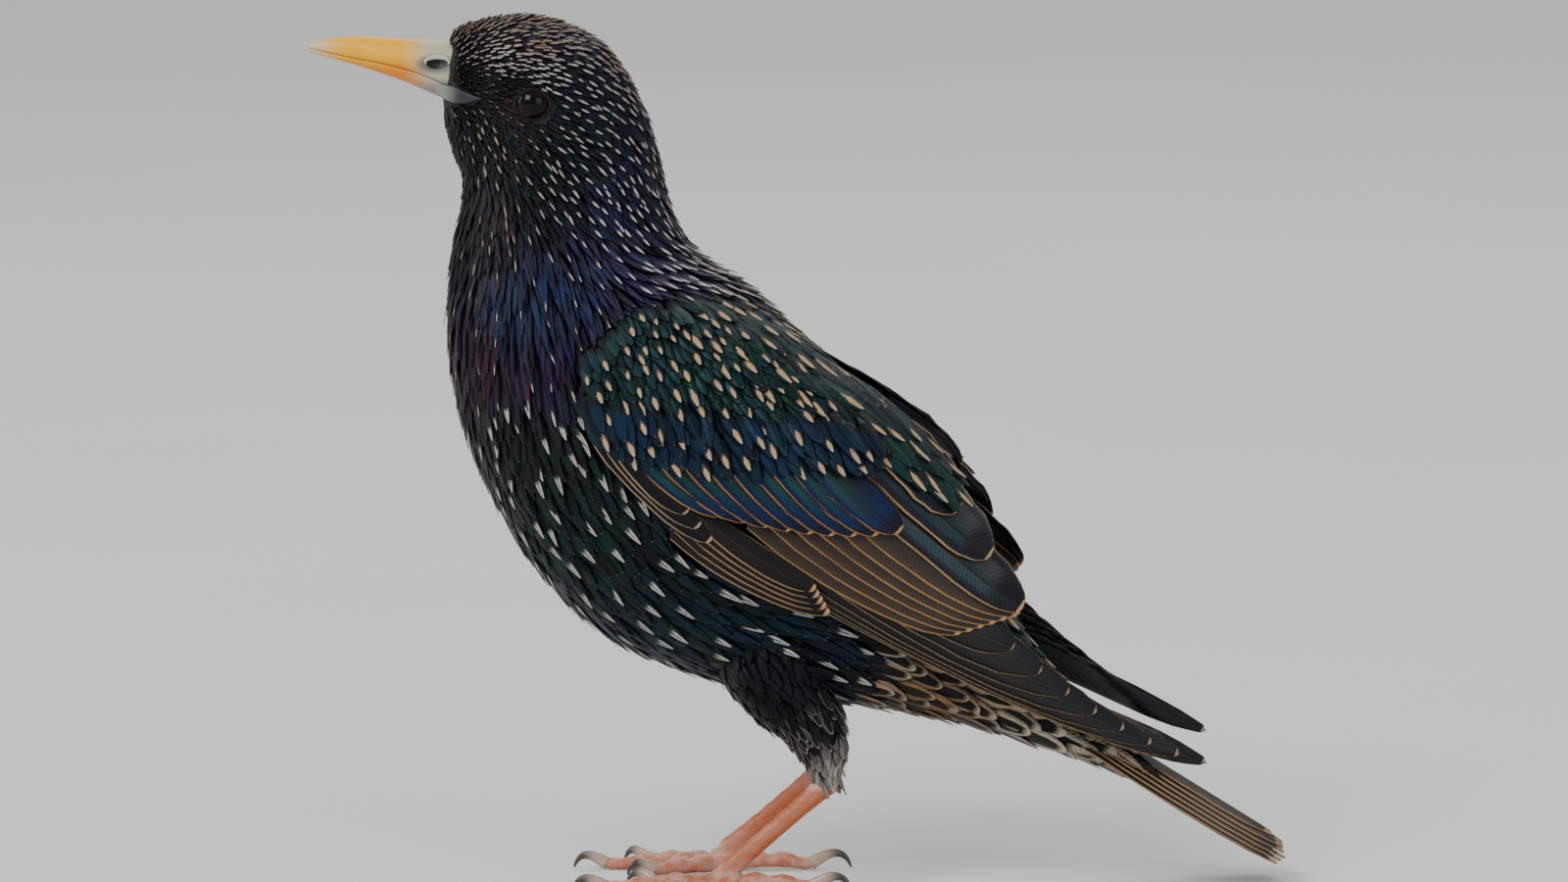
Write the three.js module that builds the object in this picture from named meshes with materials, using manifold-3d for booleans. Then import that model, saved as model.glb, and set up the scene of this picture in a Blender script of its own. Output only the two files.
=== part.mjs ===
// A life-size starling standing upright, in millimetres, +Z up, its bill towards -X.
// The left side of the bird faces -Y. The floor is z = 0 under the feet.
import * as THREE from "three";
import { mergeVertices } from "three/addons/utils/BufferGeometryUtils.js";
import Module from "manifold-3d";

const wasm = await Module();
wasm.setup();

// Driving dimensions
const GAP = 0.3; // between pieces that touch
const SKIN_SIDES = 28; // facets round the body
const EYE_RADIUS = 3.1;
const EYE_AT = [-45.3, 134.3]; // x, z
const EYE_SUNK = 2; // from the head's surface to the centre of the eye
const BILL_TIP = [-83.6, 143.0];
const LEG_SPREAD = 11; // ankle to the middle plane
const FOOT_SPREAD = 12.5;
const TOE_RADIUS = 1.45;
const VANE = 0.55; // thickness of a flight feather
const COVERT = 0.5; // thickness of a covert

// Stations from the face to the tail root: name, dorsal x z, ventral x z, half width.
// A section lies in the plane through its two points and the Y axis.
const BODY = [
  ["face", -60, 144.5, -61, 134, 4.2],
  ["forehead", -57, 147, -61, 132, 6.5],
  ["brow", -52, 148.6, -60.5, 130, 8.6],
  ["crown", -46, 149, -60, 128, 9.7],
  ["hind crown", -39.5, 147.5, -59.5, 126.3, 10.4],
  ["hind head", -33, 144, -59, 124.3, 11.1],
  ["nape top", -28.5, 138, -58, 121.8, 11.7],
  ["nape", -25.5, 131.5, -57.6, 119, 12.2],
  ["neck top", -23.5, 124.5, -58, 115.5, 12.6],
  ["neck", -22, 117, -59, 111, 13.5],
  ["neck base", -19.5, 110, -59.6, 105, 15.5],
  ["upper breast", -16, 106, -60, 97.5, 18.5],
  ["shoulder", -9.5, 102, -59.6, 90, 21],
  ["breast", -2, 96, -58.3, 82, 22.6],
  ["mantle", 5.5, 89.5, -56, 73.5, 23.3],
  ["back", 13, 82, -52.3, 64.5, 23],
  ["lower breast", 19, 74, -47, 55.5, 22],
  ["belly", 24, 66, -40, 47.5, 20.3],
  ["lower belly", 29, 58, -31, 40.5, 18],
  ["rump top", 34, 50, -19.5, 35.5, 15.6],
  ["rump", 39, 42.8, -6, 32, 13.2],
  ["vent", 44, 36.3, 7, 30.6, 11.2],
  ["under tail", 48.5, 31.5, 20, 28.6, 9.6],
  ["tail coverts", 51.5, 28.8, 32, 25.6, 8.3],
  ["tail root", 53, 27.3, 45, 21.5, 7.2],
  ["tail opening", 54, 26.3, 57, 17, 6],
];
// The shell that the folded wings lie on: the body's own sections, then straight on to the wing tips.
const WING_SHELL = [
  ["neck side", -16, 108.5, -60, 97.5, 20],
  ["wrist top", -9.5, 103.5, -59.5, 90, 23],
  ["wrist", -2, 97.5, -58.5, 82, 24.6],
  ["fore wing", 5.5, 90.5, -56, 73.5, 25.3],
  ["mid wing", 13, 84, -52.5, 64.5, 25.2],
  ["elbow", 20, 76.5, -47, 55.5, 24.6],
  ["coverts", 26.5, 69, -40, 47.5, 23.4],
  ["tertials", 33, 61.5, -31, 40.5, 21.9],
  ["secondaries", 40, 53, -19.5, 33.5, 20],
  ["primaries", 46.5, 44.5, -6, 26, 18],
  ["wing end", 54, 36, 7, 18.5, 16],
  ["first tips", 61.5, 28.5, 22, 12, 14],
  ["long tips", 70, 21, 39, 5, 12],
  ["past the tip", 79, 13.5, 55.5, -1.5, 10.5],
];
const HEAD_END = 7.6; // station where the head is parted from the neck
const NECK_END = 11;
const TORSO_END = 20;
const FULLNESS = 2.15; // exponent of the sections, 2 for an ellipse

// Surfaces from stations
function stationCurves(table) {
  const curve = (pick) => {
    const c = new THREE.CatmullRomCurve3(table.map(pick), false, "catmullrom", 0.5);
    return (s) => c.getPoint(THREE.MathUtils.clamp(s / (table.length - 1), 0, 1));
  };
  const dorsal = curve(([, dx, dz, , , w]) => new THREE.Vector3(dx, w, dz));
  const ventral = curve(([, , , vx, vz, w]) => new THREE.Vector3(vx, w, vz));
  return (s) => {
    const d = dorsal(s);
    const v = ventral(s);
    return { dx: d.x, dz: d.z, vx: v.x, vz: v.z, w: d.y };
  };
}
const bodyAt = stationCurves(BODY);
const shellAt = stationCurves(WING_SHELL);

// One ring of the section at station s, grown by `grow` all round.
function ring(at, s, grow = 0, sides = SKIN_SIDES) {
  const q = at(s);
  const middle = new THREE.Vector3((q.dx + q.vx) / 2, 0, (q.dz + q.vz) / 2);
  const up = new THREE.Vector3(q.dx - q.vx, 0, q.dz - q.vz);
  const half = up.length() / 2 + grow;
  up.normalize();
  const points = [];
  for (let i = 0; i < sides; i++) {
    const a = (i / sides) * Math.PI * 2;
    const c = Math.sign(Math.cos(a)) * Math.abs(Math.cos(a)) ** (2 / FULLNESS);
    const d = Math.sign(Math.sin(a)) * Math.abs(Math.sin(a)) ** (2 / FULLNESS);
    points.push(
      middle.clone().addScaledVector(up, half * c).add(new THREE.Vector3(0, (q.w + grow) * d, 0)),
    );
  }
  return points;
}

// A closed skin over rings that all have the same number of points.
function skinOver(rings) {
  const sides = rings[0].length;
  const flat = rings.flat();
  const centre = (r) => r.reduce((m, p) => m.add(p), new THREE.Vector3()).divideScalar(sides);
  flat.push(centre(rings[0]), centre(rings.at(-1)));
  const [first, last] = [flat.length - 2, flat.length - 1];
  const faces = [];
  for (let r = 0; r < rings.length - 1; r++) {
    for (let i = 0; i < sides; i++) {
      const j = (i + 1) % sides;
      const [a, b, c, d] = [r * sides + i, r * sides + j, (r + 1) * sides + i, (r + 1) * sides + j];
      faces.push(a, b, d, a, d, c);
    }
  }
  const end = (rings.length - 1) * sides;
  for (let i = 0; i < sides; i++) {
    const j = (i + 1) % sides;
    faces.push(first, j, i, last, end + i, end + j);
  }
  const g = new THREE.BufferGeometry().setFromPoints(flat);
  g.setIndex(faces);
  return g;
}

// Solids and back
function solid(geometry) {
  const g = geometry.clone();
  for (const name of Object.keys(g.attributes)) if (name !== "position") g.deleteAttribute(name);
  const merged = mergeVertices(g, 1e-3);
  const build = (tri) =>
    new wasm.Manifold(
      new wasm.Mesh({
        numProp: 3,
        vertProperties: new Float32Array(merged.attributes.position.array),
        triVerts: tri,
      }),
    );
  const tri = new Uint32Array(merged.index.array);
  const made = build(tri);
  if (made.volume() > 0) return made;
  for (let i = 0; i < tri.length; i += 3) [tri[i + 1], tri[i + 2]] = [tri[i + 2], tri[i + 1]];
  return build(tri);
}
const join = (solids) => solids.reduce((a, b) => a.add(b));
const largest = (made) => made.decompose().reduce((a, b) => (b.volume() > a.volume() ? b : a));
const SLIVER = 0.005; // edges shorter than this are closed up after a join

function geometryOf(made) {
  const m = largest(largest(made).simplify(SLIVER)).getMesh();
  const g = new THREE.BufferGeometry();
  g.setAttribute("position", new THREE.BufferAttribute(new Float32Array(m.vertProperties), 3));
  g.setIndex(new THREE.BufferAttribute(new Uint32Array(m.triVerts), 1));
  const clean = mergeVertices(g, 1e-3);
  clean.setIndex(withoutFolds(Array.from(clean.index.array)));
  clean.computeVertexNormals();
  return clean;
}
// Leaves out faces that have collapsed, and pairs that lie back to back.
function withoutFolds(corners) {
  const kept = new Map();
  for (let i = 0; i < corners.length; i += 3) {
    const face = corners.slice(i, i + 3);
    if (new Set(face).size < 3) continue;
    const key = [...face].sort((a, b) => a - b).join();
    if (kept.has(key)) kept.delete(key);
    else kept.set(key, face);
  }
  return [...kept.values()].flat();
}

// A tube of round sections: stations are [x, y, z, half width, half height], turned to its own path.
function limb(stations, sides = 10) {
  const points = stations.map(([x, y, z]) => new THREE.Vector3(x, y, z));
  const rings = stations.map(([, , , wide, high], i) => {
    const ahead = points[Math.min(i + 1, points.length - 1)];
    const behind = points[Math.max(i - 1, 0)];
    const along = ahead.clone().sub(behind).normalize();
    const side = new THREE.Vector3(0, 1, 0).cross(along).cross(along).negate().normalize();
    if (side.lengthSq() < 0.5) side.set(0, 1, 0);
    const up = along.clone().cross(side);
    return Array.from({ length: sides }, (_, k) => {
      const a = ((k + 0.5) / sides) * Math.PI * 2;
      return points[i].clone().addScaledVector(side, wide * Math.cos(a)).addScaledVector(up, high * Math.sin(a));
    });
  });
  return skinOver(rings);
}

// Body pieces. The next piece starts a gap further on than the one before it ends.
function stationPastGap(s) {
  const here = bodyAt(s);
  const next = bodyAt(s + 0.1);
  const half = Math.hypot(here.dx - here.vx, here.dz - here.vz);
  const normal = [(here.dz - here.vz) / half, -(here.dx - here.vx) / half];
  const top = (next.dx - here.dx) * normal[0] + (next.dz - here.dz) * normal[1];
  const low = (next.vx - here.vx) * normal[0] + (next.vz - here.vz) * normal[1];
  return s + (0.1 * GAP) / Math.min(top, low);
}
function bodyPiece(from, to, steps, { grow = 0, gapAtStart = true } = {}) {
  const start = gapAtStart ? stationPastGap(from) : from;
  const rings = [];
  for (let i = 0; i <= steps; i++) rings.push(ring(bodyAt, start + ((to - start) * i) / steps, grow));
  return solid(skinOver(rings));
}

// Bill: [distance from the tip, ridge z, cutting edge z, lower edge z, half width]
const BILL = [
  [0, 143.2, 142.9, 142.6, 0.35],
  [1.6, 143.9, 142.5, 141.9, 0.9],
  [4, 144.5, 142, 141.1, 1.5],
  [8, 144.8, 141.2, 139.9, 2.1],
  [12, 144.7, 140.5, 138.6, 2.7],
  [16, 144.5, 139.6, 137.2, 3.2],
  [20, 144.4, 138.4, 135.5, 3.7],
  [24, 144.3, 136.6, 133.9, 4.3],
  [28, 143.9, 134.9, 132.9, 4.6],
  [31, 143.3, 133.9, 132.3, 4.7],
];
const BILL_SIDES = 6;
function billHalf(upper, grow = 0) {
  const rings = BILL.map(([back, ridge, edge, low, wide]) => {
    const x = BILL_TIP[0] + back - (back === 0 ? grow : 0);
    const flatZ = edge + (upper ? GAP / 2 : -GAP / 2) + (upper ? -grow : grow);
    const outZ = upper ? ridge + grow : low - grow;
    return Array.from({ length: BILL_SIDES + 1 }, (_, k) => {
      const a = (k / BILL_SIDES) * Math.PI;
      const rise = Math.sin(a) ** 0.85;
      return new THREE.Vector3(x, -(wide + grow) * Math.cos(a), flatZ + (outZ - flatZ) * rise);
    });
  });
  return solid(skinOver(rings));
}
function nostril(side) {
  const g = new THREE.SphereGeometry(1, 8, 6);
  g.scale(1.5, 0.9, 0.75);
  g.rotateY(0.25);
  g.translate(BILL_TIP[0] + 22.6, side * 3.5, 140.6);
  return solid(g);
}

// Eyes and lids
function eyeBall(side, grow = 0) {
  const [x, z] = EYE_AT;
  const g = new THREE.SphereGeometry(EYE_RADIUS + grow, 16, 12);
  g.rotateX(Math.PI / 2);
  g.translate(x, side * (onBody(x, z, 0) - EYE_SUNK), z);
  return solid(g);
}
const LID_THICK = 0.5;
function lid(side) {
  const [x, z] = EYE_AT;
  const opening = Math.sqrt(EYE_RADIUS ** 2 - EYE_SUNK ** 2);
  const g = new THREE.TorusGeometry(opening + GAP + LID_THICK * 0.8, LID_THICK, 6, 18);
  g.rotateX(Math.PI / 2);
  g.scale(1.06, 1, 0.96);
  g.translate(x, side * onBody(x, z, 0.05), z);
  return solid(g);
}

// Wings. Feathers are laid out as seen from the side, and the shell gives their distance from the middle plane.
function stationOf(at, count, x, z) {
  const offside = (s) => {
    const q = at(s);
    return (x - q.vx) * (q.dz - q.vz) - (z - q.vz) * (q.dx - q.vx);
  };
  let [low, high] = [0, count - 1];
  for (let i = 0; i < 30; i++) {
    const mid = (low + high) / 2;
    if (offside(mid) > 0) low = mid;
    else high = mid;
  }
  return (low + high) / 2;
}
function distanceOut(at, count, x, z, grow) {
  const q = at(stationOf(at, count, x, z));
  const half = Math.hypot(q.dx - q.vx, q.dz - q.vz) / 2;
  const upX = (q.dx - q.vx) / (2 * half);
  const upZ = (q.dz - q.vz) / (2 * half);
  const c = ((x - (q.dx + q.vx) / 2) * upX + (z - (q.dz + q.vz) / 2) * upZ) / (half + grow);
  return (q.w + grow) * Math.max(0.02, 1 - Math.min(1, Math.abs(c)) ** FULLNESS) ** (1 / FULLNESS);
}
const onShell = (x, z, layer) => distanceOut(shellAt, WING_SHELL.length, x, z, layer);
const onBody = (x, z, layer) => distanceOut(bodyAt, BODY.length, x, z, layer);

// The far wing is carried a little higher towards its tip than the near one.
const FAR_LIFT = 5;
const LIFT_FROM = 0; // x where the lift starts, and where it is full
const LIFT_FULL = 48;
const lifted = (side, x, z) => z + (side > 0 ? FAR_LIFT * THREE.MathUtils.smoothstep(x, LIFT_FROM, LIFT_FULL) : 0);

// Outline of the plate under the feathers, as seen from the side: lower edge and upper edge, from the wrist back.
const PLATE_LOW = [[-35.5, 84.5], [-33, 76], [-27, 68.5], [-18, 62.5], [-8, 56], [4, 48.5], [17, 41], [30, 35]];
const PLATE_HIGH = [[-33, 92], [-20, 99], [-8, 96.5], [3, 89], [13, 80], [22, 70.5], [31, 60], [39, 47]];
const PLATE_THICK = 1.1;
const PLATE_CLEAR = 0.5; // from the torso
function plate(side) {
  const across = 6;
  const rings = PLATE_LOW.map(([lx, lz], i) => {
    const [hx, hz] = PLATE_HIGH[i];
    const face = (outer) =>
      Array.from({ length: across + 1 }, (_, k) => {
        const t = k / across;
        const x = lx + (hx - lx) * t;
        const z = lifted(side, x, lz + (hz - lz) * t);
        const inner = Math.max(onBody(x, z, PLATE_CLEAR), onShell(x, z, -2.4));
        const y = outer ? Math.max(onShell(x, z, 0), inner + PLATE_THICK) : inner;
        return new THREE.Vector3(x, side * y, z);
      });
    return [...face(true), ...face(false).reverse()];
  });
  return solid(skinOver(rings));
}

// Width along a feather, from root to tip, as a share of its half width.
const VANE_SHAPE = [[0, 0.55], [0.25, 0.88], [0.6, 1], [0.84, 0.84], [0.95, 0.52], [1, 0.14]];
const FREE_END = 0.9; // share of a feather's length that rests on the ones below
// A feather: root and tip as seen from the side, half width, layer of its shaft above the shell, its tilt
// (its upper edge rises by this much over the shaft), bow of the shaft, thickness of its free end,
// and the layer that the rest of it reaches down to.
function feather(side, { root, tip, half, layer, tilt = 0.25, bow = 0, thick = VANE, sink = 0.7, rest }) {
  const [rx, rz] = root;
  const dx = tip[0] - rx;
  const dz = tip[1] - rz;
  const length = Math.hypot(dx, dz);
  const [ax, az] = [-dz / length, dx / length]; // across, towards the back of the bird
  const rings = VANE_SHAPE.map(([u, share]) => {
    const off = bow * 4 * u * (1 - u);
    const level = layer - sink * (1 - u) ** 2;
    const corner = (across, outer) => {
      const reach = off + across * half * share;
      const x = rx + dx * u + ax * reach;
      const z = lifted(side, x, rz + dz * u + az * reach);
      const high = level + across * tilt;
      const under = Math.min(high - thick, u < FREE_END ? (rest ?? high) : high);
      const top = onShell(x, z, high);
      return new THREE.Vector3(x, side * (outer ? top : top - (high - under)), z);
    };
    return [corner(-1, true), corner(1, true), corner(1, false), corner(-1, false)];
  });
  return solid(skinOver(rings));
}

const mix = (a, b, t) => a + (b - a) * t;
const mixPoint = (p, q, t) => [mix(p[0], q[0], t), mix(p[1], q[1], t)];
// A row of feathers between a first and a last one, the roots and tips on slightly bowed lines.
function row(side, count, first, last, { rootBow = 0, tipBow = 0 } = {}) {
  return Array.from({ length: count }, (_, i) => {
    const t = count === 1 ? 0 : i / (count - 1);
    const lens = 4 * t * (1 - t);
    const root = mixPoint(first.root, last.root, t);
    const tip = mixPoint(first.tip, last.tip, t);
    root[1] += rootBow * lens;
    tip[1] += tipBow * lens;
    const value = (key, plain = 0) => mix(first[key] ?? plain, last[key] ?? plain, t);
    return feather(side, {
      root,
      tip,
      half: value("half"),
      layer: value("layer"),
      bow: value("bow"),
      tilt: value("tilt", 0.25),
      thick: value("thick", VANE),
      sink: value("sink", 0.7),
      rest: first.rest,
    });
  });
}

function wing(side) {
  const primaries = row(
    side, 8,
    { root: [-16, 62], tip: [69.3, 20.6], half: 2.7, layer: -1.5, bow: -1.2, tilt: 0.15, rest: -2.3 },
    { root: [5, 62], tip: [36.3, 42.2], half: 4, layer: 0, bow: -1, tilt: 0.15 },
    { rootBow: -2, tipBow: -2.4 },
  );
  const secondaries = row(
    side, 6,
    { root: [-9, 65.5], tip: [27.5, 45.2], half: 2.9, layer: 0.25, bow: -1.2, rest: -1.6 },
    { root: [4, 72], tip: [37.3, 47.8], half: 3.4, layer: 0.85, bow: -1.4 },
  );
  const tertials = [
    { root: [6, 75], tip: [37.8, 48.6], half: 4.3, layer: 1.25, bow: 0.6 },
    { root: [9, 79], tip: [34, 55.8], half: 4.4, layer: 1.6, bow: 0.7 },
    { root: [10, 82.5], tip: [27, 65.4], half: 4.2, layer: 1.95, bow: 0.6 },
  ].map((f) => feather(side, { tilt: 0.3, rest: -0.6, ...f }));
  const primaryCoverts = row(
    side, 3,
    { root: [-31, 74.5], tip: [-15.6, 62.6], half: 2.6, layer: -0.1, thick: COVERT, rest: -0.8 },
    { root: [-28, 79], tip: [-18.5, 66.5], half: 2.8, layer: 0.45, thick: COVERT },
  );
  const greaterCoverts = row(
    side, 8,
    { root: [-31, 81], tip: [-12.5, 66.2], half: 2.5, layer: 0.95, bow: -1, thick: COVERT, rest: -0.4 },
    { root: [-3, 80], tip: [14, 62.2], half: 3.2, layer: 1.75, bow: -0.8, thick: COVERT },
    { rootBow: 2.5, tipBow: -1.4 },
  );
  const medianCoverts = row(
    side, 7,
    { root: [-33, 86], tip: [-23.5, 76.8], half: 2.4, layer: 1.4, thick: COVERT, rest: -0.4 },
    { root: [-4, 87], tip: [5, 74.5], half: 3, layer: 2.1, thick: COVERT },
    { rootBow: 1.5, tipBow: -1 },
  );
  return join([
    plate(side), ...primaries, ...secondaries, ...tertials,
    ...primaryCoverts, ...greaterCoverts, ...medianCoverts,
  ]);
}

// Tail: twelve feathers, the outer ones lower and a little shorter, from a root block behind the coverts.
const TAIL_AXIS = { root: [52, 26], tip: [83.6, 6.3] };
const TAIL_PAIRS = 6;
const TAIL_HALF = 3.4;
const TAIL_SPREAD = 1.45; // from one feather's shaft to the next
const TAIL_DROP = 0.7; // each pair lies this much lower
function tail() {
  const [rx, rz] = TAIL_AXIS.root;
  const run = [TAIL_AXIS.tip[0] - rx, TAIL_AXIS.tip[1] - rz];
  const length = Math.hypot(...run);
  const along = new THREE.Vector3(run[0] / length, 0, run[1] / length);
  const up = new THREE.Vector3(-along.z, 0, along.x);
  const at = (distance, y, rise) =>
    new THREE.Vector3(rx, y, rz).addScaledVector(along, distance).addScaledVector(up, rise);
  const vanes = [];
  for (let pair = 0; pair < TAIL_PAIRS; pair++) {
    for (const side of [-1, 1]) {
      const reach = length - (pair === 0 ? 2.2 : 0) - 0.5 * Math.abs(pair - 3);
      const rings = VANE_SHAPE.map(([u, share]) => {
        const middle = side * (0.8 + pair * TAIL_SPREAD * mix(0.8, 1.12, u));
        const level = -pair * TAIL_DROP * mix(1, 0.82, u);
        const half = TAIL_HALF * mix(share, 1, u < 0.3 ? 0.4 : 0);
        const corner = (across, rise) => at(reach * u, middle + across * half, level + rise - side * across * 0.22);
        return [corner(-1, 0), corner(1, 0), corner(1, -VANE), corner(-1, -VANE)];
      });
      vanes.push(solid(skinOver(rings)));
    }
  }
  const block = [0, 0.5, 1].map((u) =>
    Array.from({ length: 12 }, (_, k) => {
      const a = (k / 12) * Math.PI * 2;
      return at(7 * u, 6.3 * Math.cos(a) * (1 - 0.2 * u), -2.6 + 2.4 * Math.sin(a) * (1 - 0.25 * u));
    }),
  );
  return join([solid(skinOver(block)), ...vanes]);
}

// Legs: feathered thigh, bare shank, foot with four toes and their claws
const HIP = [-4, 8.5, 40];
const ANKLE = { x: 5, z: 18.6 };
const FOOT_JOINT = { x: -12.6, z: 3.4 };
function thigh(side) {
  const [hx, hy, hz] = HIP;
  return solid(limb([
    [hx - 2, side * hy, hz, 7.3, 8.6],
    [hx + 2.4, side * (hy + 0.5), hz - 7, 6, 7.3],
    [hx + 6, side * (LEG_SPREAD - 1), hz - 12, 4.6, 5.5],
    [hx + 8.3, side * LEG_SPREAD, hz - 17, 3.4, 4.1],
    [ANKLE.x - 0.3, side * LEG_SPREAD, ANKLE.z + 1.2, 2.4, 2.9],
  ], 14));
}
function shank(side, grow = 0) {
  const top = [ANKLE.x - 0.1, ANKLE.z];
  const low = [FOOT_JOINT.x, FOOT_JOINT.z];
  const at = (t, wide, high) => {
    const [x, z] = mixPoint(top, low, t);
    return [x, side * mix(LEG_SPREAD, FOOT_SPREAD, t), z, wide + grow, high + grow];
  };
  return solid(limb([
    at(-0.07 - grow / 20, 1.3, 1.5),
    at(0.02, 1.7, 2.1), at(0.12, 1.45, 1.8), at(0.45, 1.3, 1.65), at(0.8, 1.4, 1.75),
    at(0.9 + grow / 20, 1.7, 1.9),
  ], 10));
}
// name, heading in degrees from straight ahead (outwards positive), length, arch, claw length
const TOES = [
  ["inner", -24, 14, 0.5, 5.5],
  ["middle", 3, 21, 0.6, 6.2],
  ["outer", 30, 16, 0.5, 5.2],
  ["hind", 176, 15, 1.3, 7.6],
];
const toeRadius = (u) => TOE_RADIUS * mix(1.05, 0.72, u) * (1 + 0.09 * Math.cos(u * Math.PI * 6));
const FLAT_SHARE = 0.85; // height of a toe's middle over the floor, as a share of its radius
function toePath(side, [, heading, length, arch]) {
  const a = THREE.MathUtils.degToRad(heading);
  const dir = new THREE.Vector3(-Math.cos(a), side * Math.sin(a), 0);
  const from = new THREE.Vector3(FOOT_JOINT.x, side * FOOT_SPREAD, 0);
  return (u) => {
    const p = from.clone().addScaledVector(dir, length * u);
    p.z = FLAT_SHARE * toeRadius(u) + arch * Math.sin(Math.PI * u) * 0.5;
    return p;
  };
}
function foot(side) {
  const toes = TOES.map((toe) => {
    const path = toePath(side, toe);
    const stations = Array.from({ length: 8 }, (_, i) => {
      const p = path(i / 7);
      const r = toeRadius(i / 7);
      return [p.x, p.y, p.z, r, r];
    });
    return solid(limb(stations, 8));
  });
  const palm = new THREE.SphereGeometry(1, 12, 8);
  palm.scale(2.9, 2.3, 1.9);
  palm.translate(FOOT_JOINT.x, side * FOOT_SPREAD, 1.4);
  const neck = limb([
    [FOOT_JOINT.x - 0.6, side * FOOT_SPREAD, 2, 1.7, 1.9],
    [FOOT_JOINT.x + 1.35, side * (FOOT_SPREAD - 0.1), 4.35, 1.6, 1.85],
  ], 10);
  const floor = new THREE.BoxGeometry(80, 40, 10).translate(FOOT_JOINT.x, side * FOOT_SPREAD, -5);
  return join([solid(palm), solid(neck), ...toes]).subtract(join([solid(floor), shank(side, GAP)]));
}
function claw(side, toe) {
  const path = toePath(side, toe);
  const tip = path(1);
  const dir = tip.clone().sub(path(0.9)).setZ(0).normalize();
  const long = toe[4];
  const stations = [0, 0.25, 0.5, 0.75, 1].map((u) => {
    const p = tip.clone().addScaledVector(dir, GAP + long * 0.86 * Math.sin(u * 1.35));
    const z = tip.z + long * 0.1 * Math.sin(u * Math.PI * 0.8) - (tip.z - 0.22) * u ** 2.2;
    const r = mix(0.85, 0.2, u ** 0.9);
    return [p.x, p.y, z, r * 0.85, r];
  });
  return solid(limb(stations, 8));
}

// Colours and finishes
const FINISH = {
  plumage_dark: [0x14181d, 0.42, 0.35],
  wing_feathers: [0x23262b, 0.5, 0.2],
  tail_feathers: [0x2a2622, 0.55, 0.1],
  bill_yellow: [0xe2b23a, 0.35, 0],
  eye_black: [0x0c0808, 0.08, 0],
  leg_red: [0xb5573a, 0.5, 0],
  claw_horn: [0x54483f, 0.4, 0],
};

const starling = new THREE.Group();
function add(name, made, finish) {
  const [color, roughness, metalness] = FINISH[finish];
  const mesh = new THREE.Mesh(
    geometryOf(made),
    new THREE.MeshStandardMaterial({ color, roughness, metalness }),
  );
  mesh.name = name;
  starling.add(mesh);
}

const SIDES = [["left", -1], ["right", 1]];
const bothSides = (make) => join(SIDES.map(([, side]) => make(side)));
const billSocket = join([billHalf(true, GAP), billHalf(false, GAP)]);
const head = bodyPiece(0, HEAD_END, 10, { gapAtStart: false })
  .add(bothSides(lid))
  .subtract(bothSides((side) => eyeBall(side, GAP)))
  .subtract(billSocket);
add("head", head, "plumage_dark");
add("bill_upper", billHalf(true).subtract(bothSides(nostril)), "bill_yellow");
add("bill_lower", billHalf(false), "bill_yellow");
add("neck", bodyPiece(HEAD_END, NECK_END, 4), "plumage_dark");
add("torso", bodyPiece(NECK_END, TORSO_END, 12), "plumage_dark");
add("rump", bodyPiece(TORSO_END, BODY.length - 1, 6), "plumage_dark");
add("tail", tail().subtract(bodyPiece(TORSO_END, BODY.length - 1, 6, { grow: GAP })), "tail_feathers");

const bodyWithGap = join([
  bodyPiece(HEAD_END, NECK_END, 4, { grow: GAP }),
  bodyPiece(NECK_END, TORSO_END, 12, { grow: GAP, gapAtStart: false }),
  bodyPiece(TORSO_END, BODY.length - 1, 6, { grow: 2 * GAP, gapAtStart: false }),
]);
for (const [word, side] of SIDES) {
  add(`eye_${word}`, eyeBall(side), "eye_black");
  add(`wing_${word}`, wing(side).subtract(bodyWithGap), "wing_feathers");
  add(`thigh_${word}`, thigh(side).subtract(join([bodyWithGap, shank(side, GAP)])), "plumage_dark");
  add(`shank_${word}`, shank(side), "leg_red");
  add(`foot_${word}`, foot(side), "leg_red");
  for (const toe of TOES) add(`claw_${toe[0]}_${word}`, claw(side, toe), "claw_horn");
}

// The middle of the bird's length is at x = 0.
const CENTRING = 0.5;
starling.position.x = CENTRING;

export default starling;
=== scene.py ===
# %% [markdown]
# # A starling, feather by feather
# A museum's model of a bird is a carved body with a coat laid over it. This lesson does the same: a smooth
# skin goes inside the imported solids, and each feather is a small closed mesh set on it by its root. The
# solids stay the measure for every size, so we load them first and keep their box.

import math

import bpy
import numpy as np
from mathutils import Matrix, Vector


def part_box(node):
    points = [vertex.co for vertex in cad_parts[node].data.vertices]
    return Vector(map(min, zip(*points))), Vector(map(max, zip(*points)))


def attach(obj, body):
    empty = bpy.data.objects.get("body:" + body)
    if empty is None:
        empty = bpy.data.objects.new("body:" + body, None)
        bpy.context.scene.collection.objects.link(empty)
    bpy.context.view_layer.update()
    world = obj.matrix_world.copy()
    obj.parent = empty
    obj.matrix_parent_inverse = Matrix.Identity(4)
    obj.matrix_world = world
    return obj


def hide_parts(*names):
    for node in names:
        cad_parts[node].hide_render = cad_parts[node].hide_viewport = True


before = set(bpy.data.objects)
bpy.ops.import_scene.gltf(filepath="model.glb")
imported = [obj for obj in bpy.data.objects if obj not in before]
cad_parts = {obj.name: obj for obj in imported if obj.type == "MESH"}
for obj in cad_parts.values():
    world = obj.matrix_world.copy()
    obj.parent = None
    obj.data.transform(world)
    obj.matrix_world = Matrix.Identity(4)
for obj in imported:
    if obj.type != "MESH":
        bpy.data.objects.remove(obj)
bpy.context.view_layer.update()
MM = 0.001

# %% [markdown]
# The bird is seen square from its left side, a little from above, through a very long lens. A long lens
# far away keeps the near and the far foot at the same size.

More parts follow.
